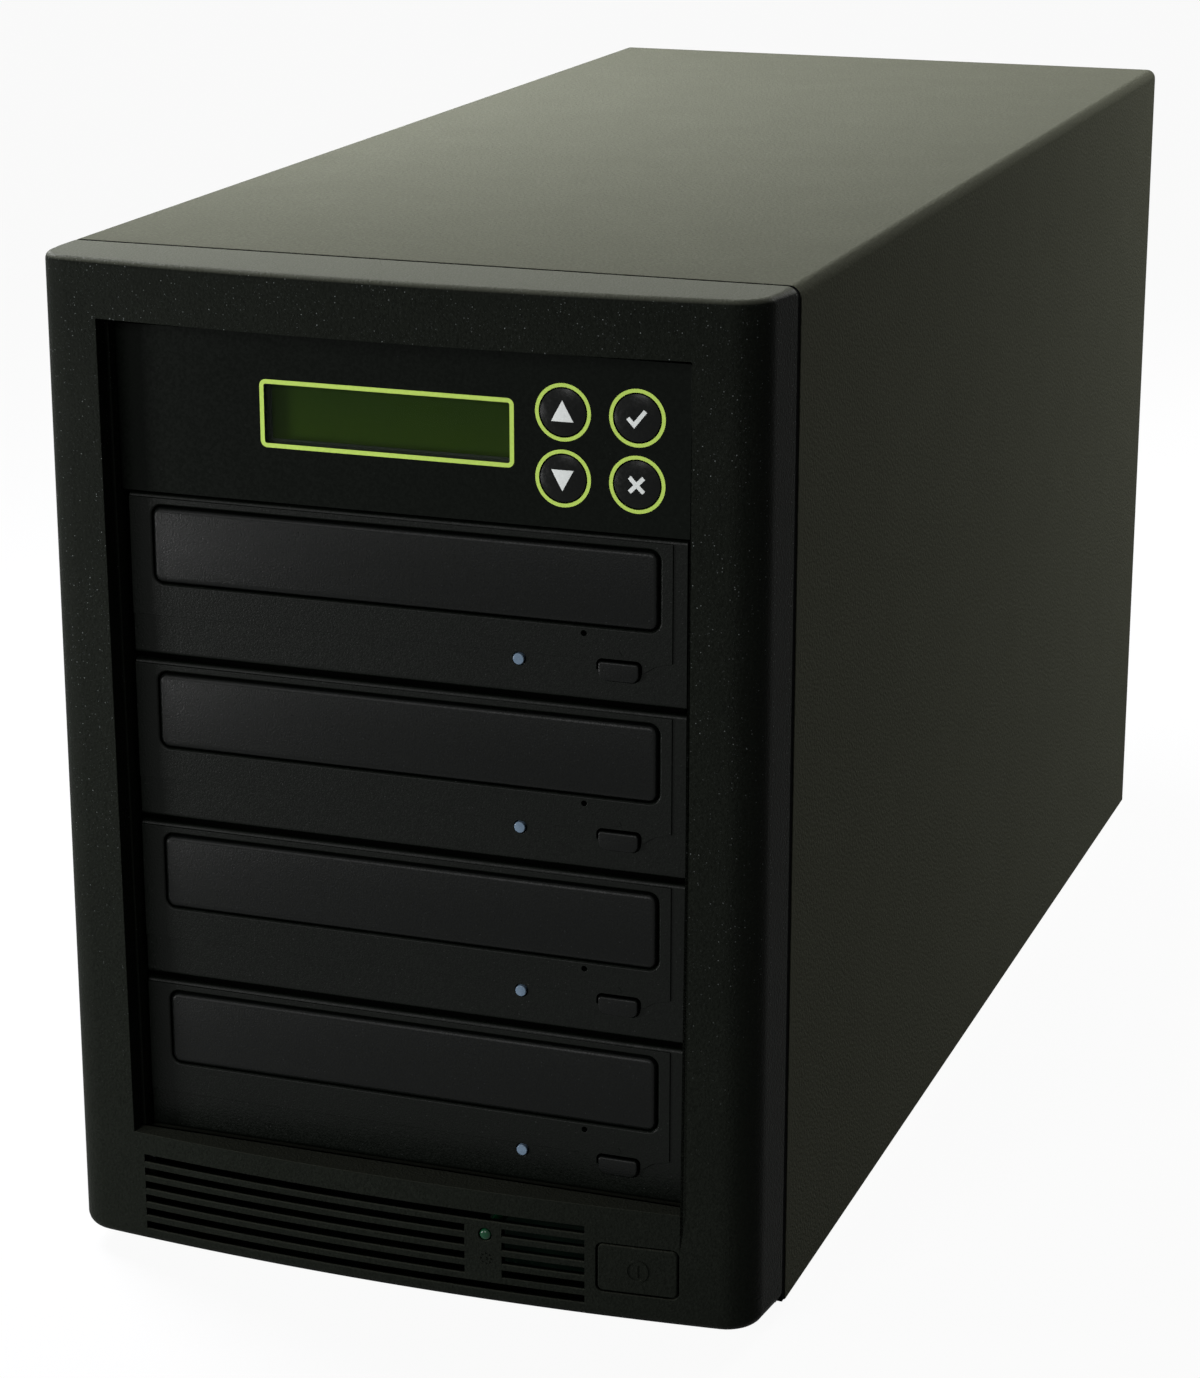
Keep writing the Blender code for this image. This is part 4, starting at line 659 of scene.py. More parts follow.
def speckles(tree, scale, share, radius=SPECK_RADIUS):
    """1 inside sparse round specks, one at most in each cell of the given scale, and 0 outside."""
    cells = texture(tree, "Voronoi", scale).outputs
    chosen = ranged(tree, channel(tree, cells["Color"], "Red"), 1 - share, 1.0, 0.0, 1.0)
    return product(tree, chosen, ranged(tree, cells["Distance"], radius * SPECK_CORE, radius, 1.0, 0.0))


def with_painted_sheen(tree, tint, painted_sheen, low, high):
    """Painted sheen: a lighter colour on what faces up, least of it at the low height and all of it at the
    high one.
    """
    normal = new_node(tree, "NewGeometry", {}).outputs["Normal"]
    upward = ranged(tree, axis_of(tree, normal), *SHEEN_FACING, 0.0, 1.0)
    rising = ranged(tree, axis_of(tree, own_place(tree)), low, high, SHEEN_LEAST, 1.0)
    return mixed(tree, product(tree, upward, rising), tint, painted_sheen)


def with_painted_recess_shade(tree, tint, shade, top):
    """Painted shade instead of the tint behind the bowed skin, within the slots' reach and below a height:
    the darkness inside the slots.
    """
    here = own_place(tree)
    flat = new_node(tree, "VectorMath", {0: here, 1: (1.0, 1.0, 0.0)}, operation="MULTIPLY").outputs["Vector"]
    axis = (0.0, BOW_CENTRE, 0.0)
    away = new_node(tree, "VectorMath", {0: flat, 1: axis}, operation="DISTANCE").outputs["Value"]
    skin = BOW_RADIUS - SLOT_LIP
    behind = ranged(tree, away, skin - SLOT_CHAMFER, skin, 1.0, 0.0)
    below = ranged(tree, axis_of(tree, here), top, top + SLOT_CHAMFER, 1.0, 0.0)
    reach = maths(tree, "ABSOLUTE", axis_of(tree, here, "X"))
    within = ranged(tree, reach, -SLOT_LEFT, SLOT_PITCH - SLOT_LEFT, 1.0, 0.0)
    return mixed(tree, product(tree, product(tree, behind, below), within), tint, shade)


def grained(name, colour, roughness, specular, grain, depth, mottle=0.10, specks=(), metallic=0.0, glint_heights=None,
            painted_sheen=None, painted_recess=None):
    """Moulded or painted: uneven colour and shine, a fine grain in relief and, where given, specks, painted
    sheen and painted shade.

    Each kind of specks is a colour, a number of cells per metre and the share of the cells that hold one.
    Where heights are given for them, the specks are painted glints that come in between these two heights.
    The painted sheen is a lighter colour on what faces up, with the heights between which it grows. The
    painted recess shade is the colour behind the bezel's skin and the height that it ends at.
    """
    made, tree, shader = new_finish(name, colour, roughness, metallic, specular)
    fine = noise(tree, grain, 2.0, Roughness=0.6)
    tint = mixed(tree, noise(tree, BROAD_SCALE, 3.0), scaled(colour, 1 - mottle), scaled(colour, 1 + mottle))
    tint = mixed(tree, ranged(tree, fine, *NOISE_SPAN, 0.0, 1.0), scaled(colour, 1 - 2 * mottle), tint)
    for speck_colour, *spread in specks:
        share = speckles(tree, *spread)
        # Painted glints: where heights are given, the specks come in only higher up, where the light catches
        # them
        if glint_heights:
            share = product(tree, share, ranged(tree, axis_of(tree, own_place(tree)), *glint_heights, 0.0, 1.0))
        tint = mixed(tree, share, tint, speck_colour)
    # Painted sheen on what faces up, more of it higher up
    if painted_sheen:
        tint = with_painted_sheen(tree, tint, *painted_sheen)
    # Painted shade inside the slots
    if painted_recess:
        tint = with_painted_recess_shade(tree, tint, *painted_recess)
    shine = ranged(tree, fine, *NOISE_SPAN, roughness - SHINE_SWING, roughness + SHINE_SWING)
    fill(tree, shader, {"Base Color": tint, "Roughness": shine})
    relief(tree, shader, fine, depth)
    return made


def spangled(name, colour, roughness):
    """Galvanised steel: crystals of a few millimetres, each with its own shade and shine."""
    made, tree, shader = new_finish(name, colour, roughness, 0.9)
    crystal = texture(tree, "Voronoi", CRYSTAL_SCALE).outputs["Color"]
    tint = mixed(tree, channel(tree, crystal, "Red"), *(scaled(colour, shade) for shade in CRYSTAL_SHADES))
    spread = (roughness - CRYSTAL_SHINE_SWING, roughness + CRYSTAL_SHINE_SWING)
    shine = ranged(tree, channel(tree, crystal, "Green"), 0.0, 1.0, *spread)
    fill(tree, shader, {"Base Color": tint, "Roughness": shine})
    relief(tree, shader, noise(tree, STREAK_SCALE, 2.0, STREAK_STRETCH), FAINT_DEPTH)
    return made


def board_finish(name, colour):
    """Circuit board: solder mask over copper tracks."""
    made, tree, shader = new_finish(name, colour, 0.35, specular=0.05)
    tracks = texture(tree, "Voronoi", TRACK_SCALE)
    tracks.distance = "MANHATTAN"
    edge = ranged(tree, tracks.outputs["Distance"], *TRACK_EDGE, 0.0, 1.0)
    fill(tree, shader, {"Base Color": mixed(tree, edge, scaled(colour, 1.7), colour)})
    relief(tree, shader, edge, TRACK_DEPTH)
    return made


def display_finish(name, top_colour, low_colour):
    """Unlit reflective display: brighter and yellower towards the bottom, as a painted sheen, and dark at its
    left end, as a painted shade of the window's side wall.
    """
    made, tree, shader = new_finish(name, low_colour, 0.40, specular=0.02)
    low_z, high_z = (WINDOW_CENTRE[1] + side * WINDOW_SIZE[1] / 2 for side in (-1, 1))
    here = own_place(tree)
    # Painted sheen: brighter and yellower towards the bottom
    tint = mixed(tree, ranged(tree, axis_of(tree, here), low_z, high_z, 0.0, 1.0), low_colour, top_colour)
    # Painted shade of the window's side wall over the display's left end
    across = ranged(tree, axis_of(tree, here, "X"), *DISPLAY_SHADED_END, 0.55, 1.0)
    tint = mixed(tree, across, scaled(top_colour, 0.3), tint)
    cloud = ranged(tree, noise(tree, DISPLAY_CLOUD_SCALE, 3.0), 0.2, 0.9, 0.0, 0.22)
    fill(tree, shader, {"Base Color": mixed(tree, cloud, tint, scaled(low_colour, 1.4))})
    return made


def pane_finish(name):
    """Clear acrylic: what is behind it shows through, with a faint gloss."""
    made, tree, shader = bare_finish(name)
    shine = ranged(tree, noise(tree, HAZE_SCALE, 4.0), *NOISE_SPAN, *HAZE_SHINE)
    fill(tree, shader, {"Base Color": (0.02, 0.03, 0.02), "Roughness": shine, "Specular IOR Level": 0.35})
    clear = new_node(tree, "BsdfTransparent", {"Color": (0.90, 0.95, 0.88)})
    both = {1: clear.outputs["BSDF"], 2: shader.outputs["BSDF"]}
    blend = new_node(tree, "MixShader", {"Fac": PANE_GLOSS, **both})
    fill(tree, tree.nodes["Material Output"], {"Surface": blend.outputs["Shader"]})
    return made


def lens_finish(name, colour, dark):
    """A small moulded lens with a cloudy tint between two colours."""
    made, tree, shader = new_finish(name, colour, 0.22, specular=0.15)
    cloud = noise(tree, CLOUD_SCALE, 2.0)
    fill(tree, shader, {"Base Color": mixed(tree, cloud, dark, scaled(colour, 1.25))})
    relief(tree, shader, cloud, FAINT_DEPTH)
    return made


# Of each: colour, roughness, specular, grain per metre, its depth, mottle and specks
GRAINED = {
    "powder_coat": ((0.130, 0.134, 0.100), 0.60, 0.0006, 1100.0, 0.00022, 0.10,
                    [((0.26, 0.26, 0.22), 1500.0, 0.25)]),
    # The bezel's plastic painted near black, as painted shade in the seam, behind the slots and in the gaps
    # between the drives
    "bezel_painted_shade": ((0.0006, 0.0007, 0.0006), 0.60, 0.001, 1500.0, 0.00022, 0.20),
    "fascia_plastic": ((0.0016, 0.0024, 0.0016), 0.38, 0.075, 2100.0, 0.00008, 0.20,
                       [((0.030, 0.032, 0.031), 1100.0, 0.20)]),
    "door_plastic": ((0.0028, 0.0034, 0.0030), 0.34, 0.080, 2300.0, 0.00007, 0.20,
                     [((0.026, 0.028, 0.028), 1100.0, 0.25)]),
    "panel_film": ((0.0036, 0.0046, 0.0036), 0.28, 0.030, 1300.0, 0.00002, 0.10,
                   [((0.012, 0.014, 0.013), 900.0, 0.15)]),
    "key_film": ((0.0032, 0.0038, 0.0034), 0.24, 0.08, 1100.0, 0.00002),
    "display_frame": ((0.010, 0.010, 0.010), 0.45, 0.3, 900.0, 0.00002),
    "tray_plastic": ((0.016, 0.0165, 0.0170), 0.50, 0.25, 2400.0, 0.00005),
    "loader_plastic": ((0.030, 0.030, 0.031), 0.58, 0.3, 1500.0, 0.00005),
    "fan_plastic": ((0.012, 0.012, 0.012), 0.42, 0.3, 1500.0, 0.00004),
    "inlet_plastic": ((0.012, 0.012, 0.012), 0.36, 0.35, 1700.0, 0.00003),
    "foot_rubber": ((0.016, 0.016, 0.016), 0.82, 0.2, 800.0, 0.00012),
    "print_lime": ((0.470, 0.650, 0.115), 0.45, 0.2, 1400.0, 0.00001, 0.06),
    "print_white": ((0.700, 0.730, 0.720), 0.45, 0.2, 1400.0, 0.00001, 0.04),
}
FINISHES = {name: grained(name, *values) for name, values in GRAINED.items()}
FINISHES |= {
    # The bezel: its bright specks are painted glints that fade in with height, its tops take a painted sheen
    # and the insides of its slots a painted shade
    "bezel_plastic": grained(
        "bezel_plastic", (0.0104, 0.0120, 0.0096), 0.46, 0.006, 1500.0, 0.00022, 0.20,
        [((0.190, 0.208, 0.204), 1000.0, 0.50, 0.15), ((0.040, 0.046, 0.045), 1900.0, 0.60, 0.22)],
        glint_heights=(0.04, 0.14), painted_sheen=((0.112, 0.117, 0.090), 0.20, 0.268),
        painted_recess=((0.0008, 0.0012, 0.0009), POWER_Z + SLOT_PITCH * SLOT_COUNT / 2)),
    "screw_steel": grained("screw_steel", (0.085, 0.085, 0.088), 0.34, 0.5, 1800.0, 0.00002, metallic=0.85),
    "window_glass": pane_finish("window_glass"),
    "display_cell": display_finish("display_cell", (0.0120, 0.0255, 0.0006), (0.023, 0.040, 0.0010)),
    "circuit_board": board_finish("circuit_board", (0.0010, 0.0040, 0.0022)),
    "drive_light": lens_finish("drive_light", (0.125, 0.175, 0.235), (0.085, 0.125, 0.175)),
    "power_light": lens_finish("power_light", (0.001, 0.040, 0.014), (0.001, 0.020, 0.007)),
    "zinc_steel": spangled("zinc_steel", (0.44, 0.45, 0.45), 0.38),
}


def place(made, body, finish, *nodes, slot=None):
    """Gives a piece its finish and its body, and hides the CAD nodes that it stands for."""
    made.data.materials.clear()
    made.data.materials.append(FINISHES[finish])
    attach(made, body)
    slot or finish
    if nodes:
        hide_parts(*nodes)
    return made


# Case

def screw_places():
    x = COVER_HIGH.x - COVER_FLANGE / 2 - SCREW_HOLE_RADIUS / 2
    heights = sorted({round(sum(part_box(f"cover_screw_{n}"), Vector()).z / 2, 5) for n in (1, 2, 3, 4)})
    return [(side * x, height) for height in heights for side in (-1, 1)]


def fan_places():
    half = FAN_HOLE_SPREAD / 2
    return [(side * half, FAN_CENTRE + rise * half) for side in (-1, 1) for rise in (-1, 1)]


def holes(places, radius):
    return [circle(x, z, radius, SMALL_STEPS) for x, z in places]


def build_sleeve():
    half, top, low = COVER_HIGH.x, COVER_HIGH.z - SEAM_FALL, COVER_LOW.z
    front, back = COVER_LOW.y, COVER_HIGH.y
    start, end = back - COVER_WALL - OVERRUN, back + OVERRUN
    cover = prism("sleeve", hood(half, top, COVER_BEND_RADIUS, low), "Y", front, back)
    inner = hood(half - COVER_WALL, top - COVER_WALL, COVER_BEND_RADIUS - COVER_WALL, low - OVERRUN)
    pierce(cover, [inner], front - OVERRUN, back - COVER_WALL)
    rim = hood(half - COVER_FLANGE, top - COVER_FLANGE, COVER_BEND_RADIUS, low - OVERRUN)
    pierce(cover, [rim] + holes(screw_places(), SCREW_HOLE_RADIUS), start, end)
    place(rounded_solid(cover, SOFT_EDGE), "tower", "powder_coat", "case_cover")


def cross_recess(x, z, face):
    """Cutter for a screw's cross recess, sunk from face towards -Y."""
    reaches = ((CROSS_REACH, CROSS_WIDTH / 2), (CROSS_WIDTH / 2, CROSS_REACH))
    return fuse(*(box("bar", (x - across, face - CROSS_DEPTH, z - up), (x + across, face + OVERRUN, z + up))
                  for across, up in reaches))


def pan_head(name, x, z, seat, radius, height, shank=None):
    """A pan-head screw whose head stands on seat and faces +Y."""
    steps = [(seat, 0)]
    for turn in quarter_turns(ARC_STEPS):
        rise = height * (HEAD_SIDE + (1 - HEAD_SIDE) * math.sin(turn))
        steps.append((seat + rise, radius * HEAD_CROWN * (1 - math.cos(turn))))
    if shank:
        steps = [(seat - shank[1], radius - shank[0]), (seat, radius - shank[0])] + steps
    head = stepped(name, round_outline(x, z, radius, SMALL_STEPS), "Y", steps)
    return smooth(cut(head, cross_recess(x, z, seat + height)))


def build_screws():
    seat = COVER_HIGH.y + GAP
    for number, (x, z) in enumerate(screw_places(), 1):
        head = pan_head(f"screw_{number}", x, z, seat, SCREW_HEAD_RADIUS, SCREW_HEAD_HEIGHT, SCREW_SHANK)
        place(head, "tower", "screw_steel", f"cover_screw_{number}")
    fan_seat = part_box("fan_guard")[1].y - FAN_SCREW_SINK
    height = seat + SCREW_HEAD_HEIGHT - fan_seat
    for number, (x, z) in enumerate(fan_places(), 1):
        head = pan_head(f"fan_screw_{number}", x, z, fan_seat, FAN_SCREW_RADIUS, height)
        place(head, "tower", "screw_steel")


def build_feet():
    for name in ("front_left", "front_right", "rear_left", "rear_right"):
        low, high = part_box(f"foot_{name}")
        centre, radius = (low + high) / 2, (high.x - low.x) / 2
        steps = [(low.z + rise, radius * share) for rise, share in FOOT_GROOVE]
        steps += [(low.z + rise, inset) for rise, inset in FOOT_EDGE] + [(high.z, FOOT_TOP_INSET)]
        foot = stepped(f"pad_{name}", round_outline(centre.x, centre.y, radius), "Z", steps)
        place(smooth(foot), "tower", "foot_rubber", f"foot_{name}")


def build_rear_plate():
    low, high = REAR_LOW, REAR_HIGH
    plate = prism("rear_plate", hood(high.x, high.z, COVER_BEND_RADIUS, low.z), "Y", low.y, high.y)
    supply_low, supply_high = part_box("power_supply")
    supply = (supply_high.x - supply_low.x, supply_high.z - supply_low.z)
    centre = (0, (supply_low.z + supply_high.z) / 2)
    window = rounded(centre, grown(supply, -SUPPLY_WINDOW_RIM), SUPPLY_WINDOW_RIM)
    first = FAN_CENTRE + FAN_SIZE / 2 + REAR_VENT_ABOVE_FAN
    vents = [rounded((0, first + REAR_VENT_PITCH * row), REAR_VENT_SIZE, REAR_VENT_SIZE[1] / 2)
             for row in range(REAR_VENT_COUNT)]
    outlines = [window, circle(0, FAN_CENTRE, FAN_BORE_RADIUS)] + holes(screw_places(), SCREW_HOLE_RADIUS)
    pierce(plate, outlines + vents, low.y - OVERRUN, high.y + OVERRUN)
    place(rounded_solid(plate, SHARP_EDGE, 2), "tower", "powder_coat", "rear_panel")


# Front bezel

def bezel_plan(inset, back):
    """Plan of the bezel: bowed front, round corners and drafted sides, all drawn in by the inset."""
    corner_x = BEZEL_HALF - BEZEL_DRAFT - BEZEL_CORNER_RADIUS
    reach = BOW_RADIUS - BEZEL_CORNER_RADIUS
    corner_y = BOW_CENTRE - math.sqrt(reach ** 2 - corner_x ** 2)
    lean = math.degrees(math.asin(corner_x / reach))
    points = [(BEZEL_HALF - inset, back)]
    points += arc(corner_x, corner_y, BEZEL_CORNER_RADIUS - inset, 0, lean - 90, EDGE_STEPS)
    points += arc(0, BOW_CENTRE, BOW_RADIUS - inset, lean - 90, -lean - 90, BOW_STEPS)[1:-1]
    points += arc(-corner_x, corner_y, BEZEL_CORNER_RADIUS - inset, -lean - 90, -180, EDGE_STEPS)
    return points + [(inset - BEZEL_HALF, back)]


def bezel_skin(name, inset=0.0):
    """The bezel's outer form up to the seam, with round top and bottom edges, drawn in by the inset."""
    rings = [(BEZEL_LOW.z + rise, inset + drawn) for rise, drawn in edge_round(BEZEL_EDGE_RADIUS)]
    rings += [(BEZEL_TOP - rise, inset + drawn) for rise, drawn in reversed(edge_round(BEZEL_TOP_RADIUS))]
    return loft(name, [[(x, y, z) for x, y in bezel_plan(drawn, SEAM)] for z, drawn in rings])


def bezel_lip():
    """The rim of the bezel that goes into the sleeve, with a low wall that keeps light from the slots."""
    low = BEZEL_LOW.z + SEAM_CLEARANCE
    outer = hood(LIP_HALF, LIP_TOP, COVER_BEND_RADIUS, low)
    inner = hood(LIP_HALF - LIP_WALL, LIP_TOP - LIP_WALL, COVER_BEND_RADIUS, low + LIP_WALL)
    lip = band("bezel_lip", outer, inner, SEAM - LIP_OVERLAP, BEZEL_HIGH.y)
    low_corner = (-BAFFLE_HALF, BEZEL_HIGH.y - BAFFLE_WALL, low + LIP_WALL / 2)
    return fuse(lip, box("baffle", low_corner, (BAFFLE_HALF, BEZEL_HIGH.y, BAY_FLOOR - BAFFLE_WALL)))


def bezel_cavity():
    half = OPENING_HALF + TUNNEL_WALL
    plan = bezel_plan(BEZEL_WALL, SEAM + OVERRUN)
    cavity = prism("cavity", plan, "Z", BEZEL_LOW.z + BEZEL_WALL, BEZEL_TOP - BEZEL_WALL)
    low_corner = (-half, FRONT, BAY_FLOOR - LEDGE_DROP - TUNNEL_WALL)
    return cut(cavity, box("tunnel", low_corner, (half, FACE + TUNNEL_LENGTH, OPENING_TOP + TUNNEL_WALL)))


def bezel_opening():
    """The opening for the bays: a stepped tunnel that leans in at its left and runs out as a ledge."""
    def ring(y, step):
        side = OPENING_SIDE_STEP if step else 0
        half, top = OPENING_HALF - side, OPENING_TOP - step
        low = BAY_FLOOR if step else BAY_FLOOR + LEDGE_RISE
        return [(OPENING_LEAN - half, y, low), (half, y, low), (half, y, top), (-half, y, top)]

    mouth_back = FACE - OPENING_STEP_DEPTH
    rings = [ring(FRONT - OVERRUN, 0), ring(mouth_back, 0), ring(mouth_back, OPENING_STEP)]
    opening = loft("opening", rings + [ring(FACE + TUNNEL_LENGTH + OVERRUN, OPENING_STEP)])
    return fuse(opening, bezel_ledge())


def bow(x):
    """Where the bowed front lies at x."""
    return BOW_CENTRE - math.sqrt(BOW_RADIUS ** 2 - x ** 2)


def bezel_ledge():
    """Cutter for the ledge: from a groove under the bays it runs out, lowest in the middle of the bow."""
    ledge_front = FRONT - OVERRUN
    top = BAY_FLOOR + LEDGE_RISE + GAP
    start, end = FACE - GAP, FACE + LEDGE_GROOVE_DEPTH
    back = BAY_FLOOR - LEDGE_GROOVE
    rings = []
    for step in range(LEDGE_STEPS + 1):
        share = 2 * step / LEDGE_STEPS - 1
        x = max(share * (OPENING_HALF - WELD), OPENING_LEAN - OPENING_HALF + WELD * (step + 1))
        crease = BAY_FLOOR + LEDGE_RISE - (LEDGE_RISE + LEDGE_DROP) * (1 - share ** 2)
        slope = (crease - back) / (start - bow(x))
        run_out = back + slope * (start - ledge_front)
        side = [(end, back - LEDGE_GROOVE), (end, top), (ledge_front, top), (ledge_front, run_out),
                (start, back), (start, back - LEDGE_GROOVE)]
        rings.append([(x, y, z) for y, z in side])
    return loft("ledge", rings)


def slot_cutter(left, right, z):
    """One slot, whose edges flare behind a narrow lip that follows the bow."""
    half = SLOT_HEIGHT / 2
    profile = ((-OVERRUN, half + SLOT_CHAMFER + OVERRUN), (SLOT_CHAMFER, half), (SLOT_LIP, half),
               (SLOT_DEPTH, half + SLOT_FLARE))
    rings = []
    for step in range(SLOT_STEPS + 1):
        x = left + (right - left) * step / SLOT_STEPS
        side = [(bow(x) + depth, reach) for depth, reach in profile]
        low_edge = [(x, y, z - reach) for y, reach in side]
        rings.append(low_edge + [(x, y, z + reach) for y, reach in reversed(side)])
    return loft("slot", rings)


def slot_spans(row):
    if row in (0, SLOT_COUNT - 1):
        return [(SLOT_LEFT, SLOT_RIGHT)]
    return [(SLOT_LEFT, SLOT_ISLAND[0]), (SLOT_ISLAND[1], SLOT_RIGHT)]


def seam_rib():
    """A rib that fills the seam between the bezel and the sleeve, a little below both."""
    low = BEZEL_LOW.z + SEAM_CLEARANCE
    fall = SEAM_FALL + SEAM_RIB_FALL
    outer = hood(COVER_HIGH.x - fall, COVER_HIGH.z - fall, COVER_BEND_RADIUS, low)
    inner = hood(LIP_HALF - WELD, LIP_TOP - WELD, COVER_BEND_RADIUS, low + WELD)
    return band("seam_rib", outer, inner, SEAM - WELD, COVER_LOW.y - WELD)


def build_bezel():
    shoulder = hood(BEZEL_HALF, BEZEL_TOP, BEZEL_SHOULDER, BEZEL_LOW.z - OVERRUN)
    bezel = common(bezel_skin("bezel"), prism("shoulder", shoulder, "Y", FRONT - OVERRUN, SEAM + OVERRUN))
    cut(bezel, bezel_opening())
    button = rounded(POWER_CENTRE, grown(POWER_SIZE, POWER_GAP), POWER_CORNER + POWER_GAP)
    light = circle(*POWER_LIGHT, POWER_LIGHT_RADIUS + GAP, SMALL_STEPS)
    pierce(bezel, [button, light], FRONT - OVERRUN, FRONT + POWER_CAP_DEPTH + OVERRUN)
    rounded_solid(bezel, MOUTH_EDGE)
    cut(bezel, bezel_cavity())
    first = POWER_Z - SLOT_PITCH * (SLOT_COUNT - 1) / 2
    for row in range(SLOT_COUNT):
        for left, right in slot_spans(row):
            cut(bezel, slot_cutter(left, right, first + SLOT_PITCH * row))
    place(settle(even(smooth(bezel))), "tower", "bezel_plastic", "front_bezel")
    # The lip with its baffle and the seam rib take the bezel's plastic painted near black: painted shade in
    # the seam and behind the slots
    for inside in (bezel_lip(), seam_rib()):
        place(smooth(inside), "tower", "bezel_painted_shade", slot="bezel_plastic")


def raised(name, shape, rise):
    """A shape that stands proud of the bezel's bowed face by rise, and ends at that face."""
    common(shape, bezel_skin("over", -rise))
    cut(shape, bezel_skin("under"))
    shape.name = name
    return smooth(shape)


def build_power_button():
    cap_back = FRONT + POWER_CAP_DEPTH
    steps = [(FRONT - OVERRUN, 0), (cap_back, 0), (cap_back, -POWER_FLANGE)]
    steps.append((cap_back + POWER_FLANGE, -POWER_FLANGE))
    button = stepped("power_cap", rounded_outline(POWER_CENTRE, POWER_SIZE, POWER_CORNER), "Y", steps)
    common(button, bezel_skin("skin"))
    stem = circle(*POWER_CENTRE, SYMBOL_RADIUS, SMALL_STEPS)
    fuse(button, prism("stem", stem, "Y", cap_back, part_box("power_button")[1].y))
    place(rounded_solid(button, BUTTON_EDGE), "power_key", "bezel_plastic", "power_button")

    x, z = POWER_CENTRE
    rings = [circle(x, z, radius) for radius in (SYMBOL_RADIUS, SYMBOL_RADIUS - SYMBOL_STROKE)]
    ring = band("ring", *rings, FRONT - OVERRUN, cap_back)
    across, up = SYMBOL_STROKE / 2, SYMBOL_BAR / 2
    bar = box("bar", (x - across, FRONT - OVERRUN, z - up), (x + across, cap_back, z + up))
    place(raised("power_symbol", joined("symbol", [ring, bar]), SYMBOL_RISE), "power_key", "bezel_plastic")


def build_power_light():
    low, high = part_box("power_light")
    x, z = POWER_LIGHT
    steps = []
    for turn in quarter_turns(ARC_STEPS):
        inset = POWER_LIGHT_RADIUS * (1 - math.sin(turn)) * LENS_CROWN
        steps.append((low.y + LENS_DOME * (1 - math.cos(turn)), inset))
    outline = round_outline(x, z, POWER_LIGHT_RADIUS, SMALL_STEPS)
    lens = stepped("power_lens", outline, "Y", steps + [(high.y, 0)])
    place(smooth(lens), "tower", "power_light", "power_light")

    middle = z - DOTS_BELOW_LIGHT
    centres = circle(x, middle, DOT_RING_RADIUS, DOT_COUNT)
    outlines = [circle(*centre, DOT_RADIUS, DOT_STEPS) for centre in centres]
    outlines.append(circle(x, middle, DOT_RADIUS * 2, CORE_STEPS))
    dots = [prism("dot", outline, "Y", FRONT - OVERRUN, FRONT + OVERRUN) for outline in outlines]
    place(raised("light_symbol", joined("dots", dots), SYMBOL_RISE), "tower", "bezel_plastic")


# Drives

DOOR_OUTLINE = rounded_outline(DOOR_CENTRE, DOOR_SIZE, DOOR_CORNER)
EJECT_OUTLINE = capped_outline(EJECT_CENTRE, EJECT_SIZE, EJECT_TOP_CORNER, EJECT_LOW_CORNER)
LIGHT_OUTLINE = round_outline(*DRIVE_LIGHT, DRIVE_LIGHT_RADIUS, SMALL_STEPS)


def flared(outline, gap, lip):
    """Cutter for a hole whose front edge is bevelled by lip."""
    steps = [(-OVERRUN, -gap - lip - OVERRUN), (lip, -gap), (FASCIA_WALL + OVERRUN, -gap)]
    return stepped("hole", outline, "Y", steps)


def fascia_solid():
    """A fascia with a chamfered edge and a raised field, which dips round the eject button."""
    low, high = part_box("drive_1_fascia")
    half, top = high.x, high.z - low.z
    back = FASCIA_RELIEF + FASCIA_CHAMFER
    edges = arc(0, FASCIA_CHAMFER, FASCIA_CHAMFER, -90, 0, CAP_EDGE_STEPS)[1:]
    edges += arc(0, top - FASCIA_CHAMFER, FASCIA_CHAMFER, 0, 90, CAP_EDGE_STEPS)
    profile = [(FASCIA_WALL, 0), (back, 0)] + [(back - y, z) for y, z in edges] + [(FASCIA_WALL, top)]
    fascia = prism("fascia", profile, "X", -half, half)

    x, width = EJECT_CENTRE[0], EJECT_SIZE[0]
    dip = []
    for i in range(ARC_STEPS + 1):
        fall = (1 - math.cos(math.pi * i / ARC_STEPS)) / 2
        dip.append((x - width + width / 2 * i / ARC_STEPS, RELIEF_HEIGHT - RELIEF_DIP * fall))
    dip += [(2 * x - left, z) for left, z in reversed(dip)]
    side, field_top = half - FASCIA_STEP_INSET, top - FASCIA_CHAMFER
    field = [(-half, RELIEF_HEIGHT)] + dip + [(side, RELIEF_HEIGHT + RELIEF_DIP / 3)]
    field += [(side, field_top), (-half, field_top)]
    fuse(fascia, prism("field", field, "Y", 0, (FASCIA_RELIEF + FASCIA_WALL) / 2))
    for outline, gap, lip in ((DOOR_OUTLINE, DOOR_GAP, DOOR_LIP), (EJECT_OUTLINE, GAP, DOOR_LIP / 2),
                              (LIGHT_OUTLINE, GAP, DOOR_LIP / 3)):
        cut(fascia, flared(outline, gap, lip))
    pierce(fascia, [circle(*PINHOLE, PINHOLE_RADIUS, SMALL_STEPS // 2)], -OVERRUN, FASCIA_WALL + OVERRUN)
    return rounded_solid(fascia, SHARP_EDGE, 2)


def door_solid():
    steps = [(depth - FASCIA_RELIEF, inset) for depth, inset in DOOR_EDGE] + [(DOOR_WALL, 0)]
    return smooth(stepped("door", DOOR_OUTLINE, "Y", steps), 60.0)


def capped(outline, proud, edge):
    """A small cap that stands proud of a fascia, with a flange that keeps it in from behind."""
    flange = FASCIA_WALL + GAP
    steps = edge_steps(-proud, edge, flange)
    steps += [(flange, -CAP_FLANGE), (flange + CAP_FLANGE_WALL, -CAP_FLANGE)]
    return smooth(stepped("cap", outline, "Y", steps), CAP_CREASE_DEG)


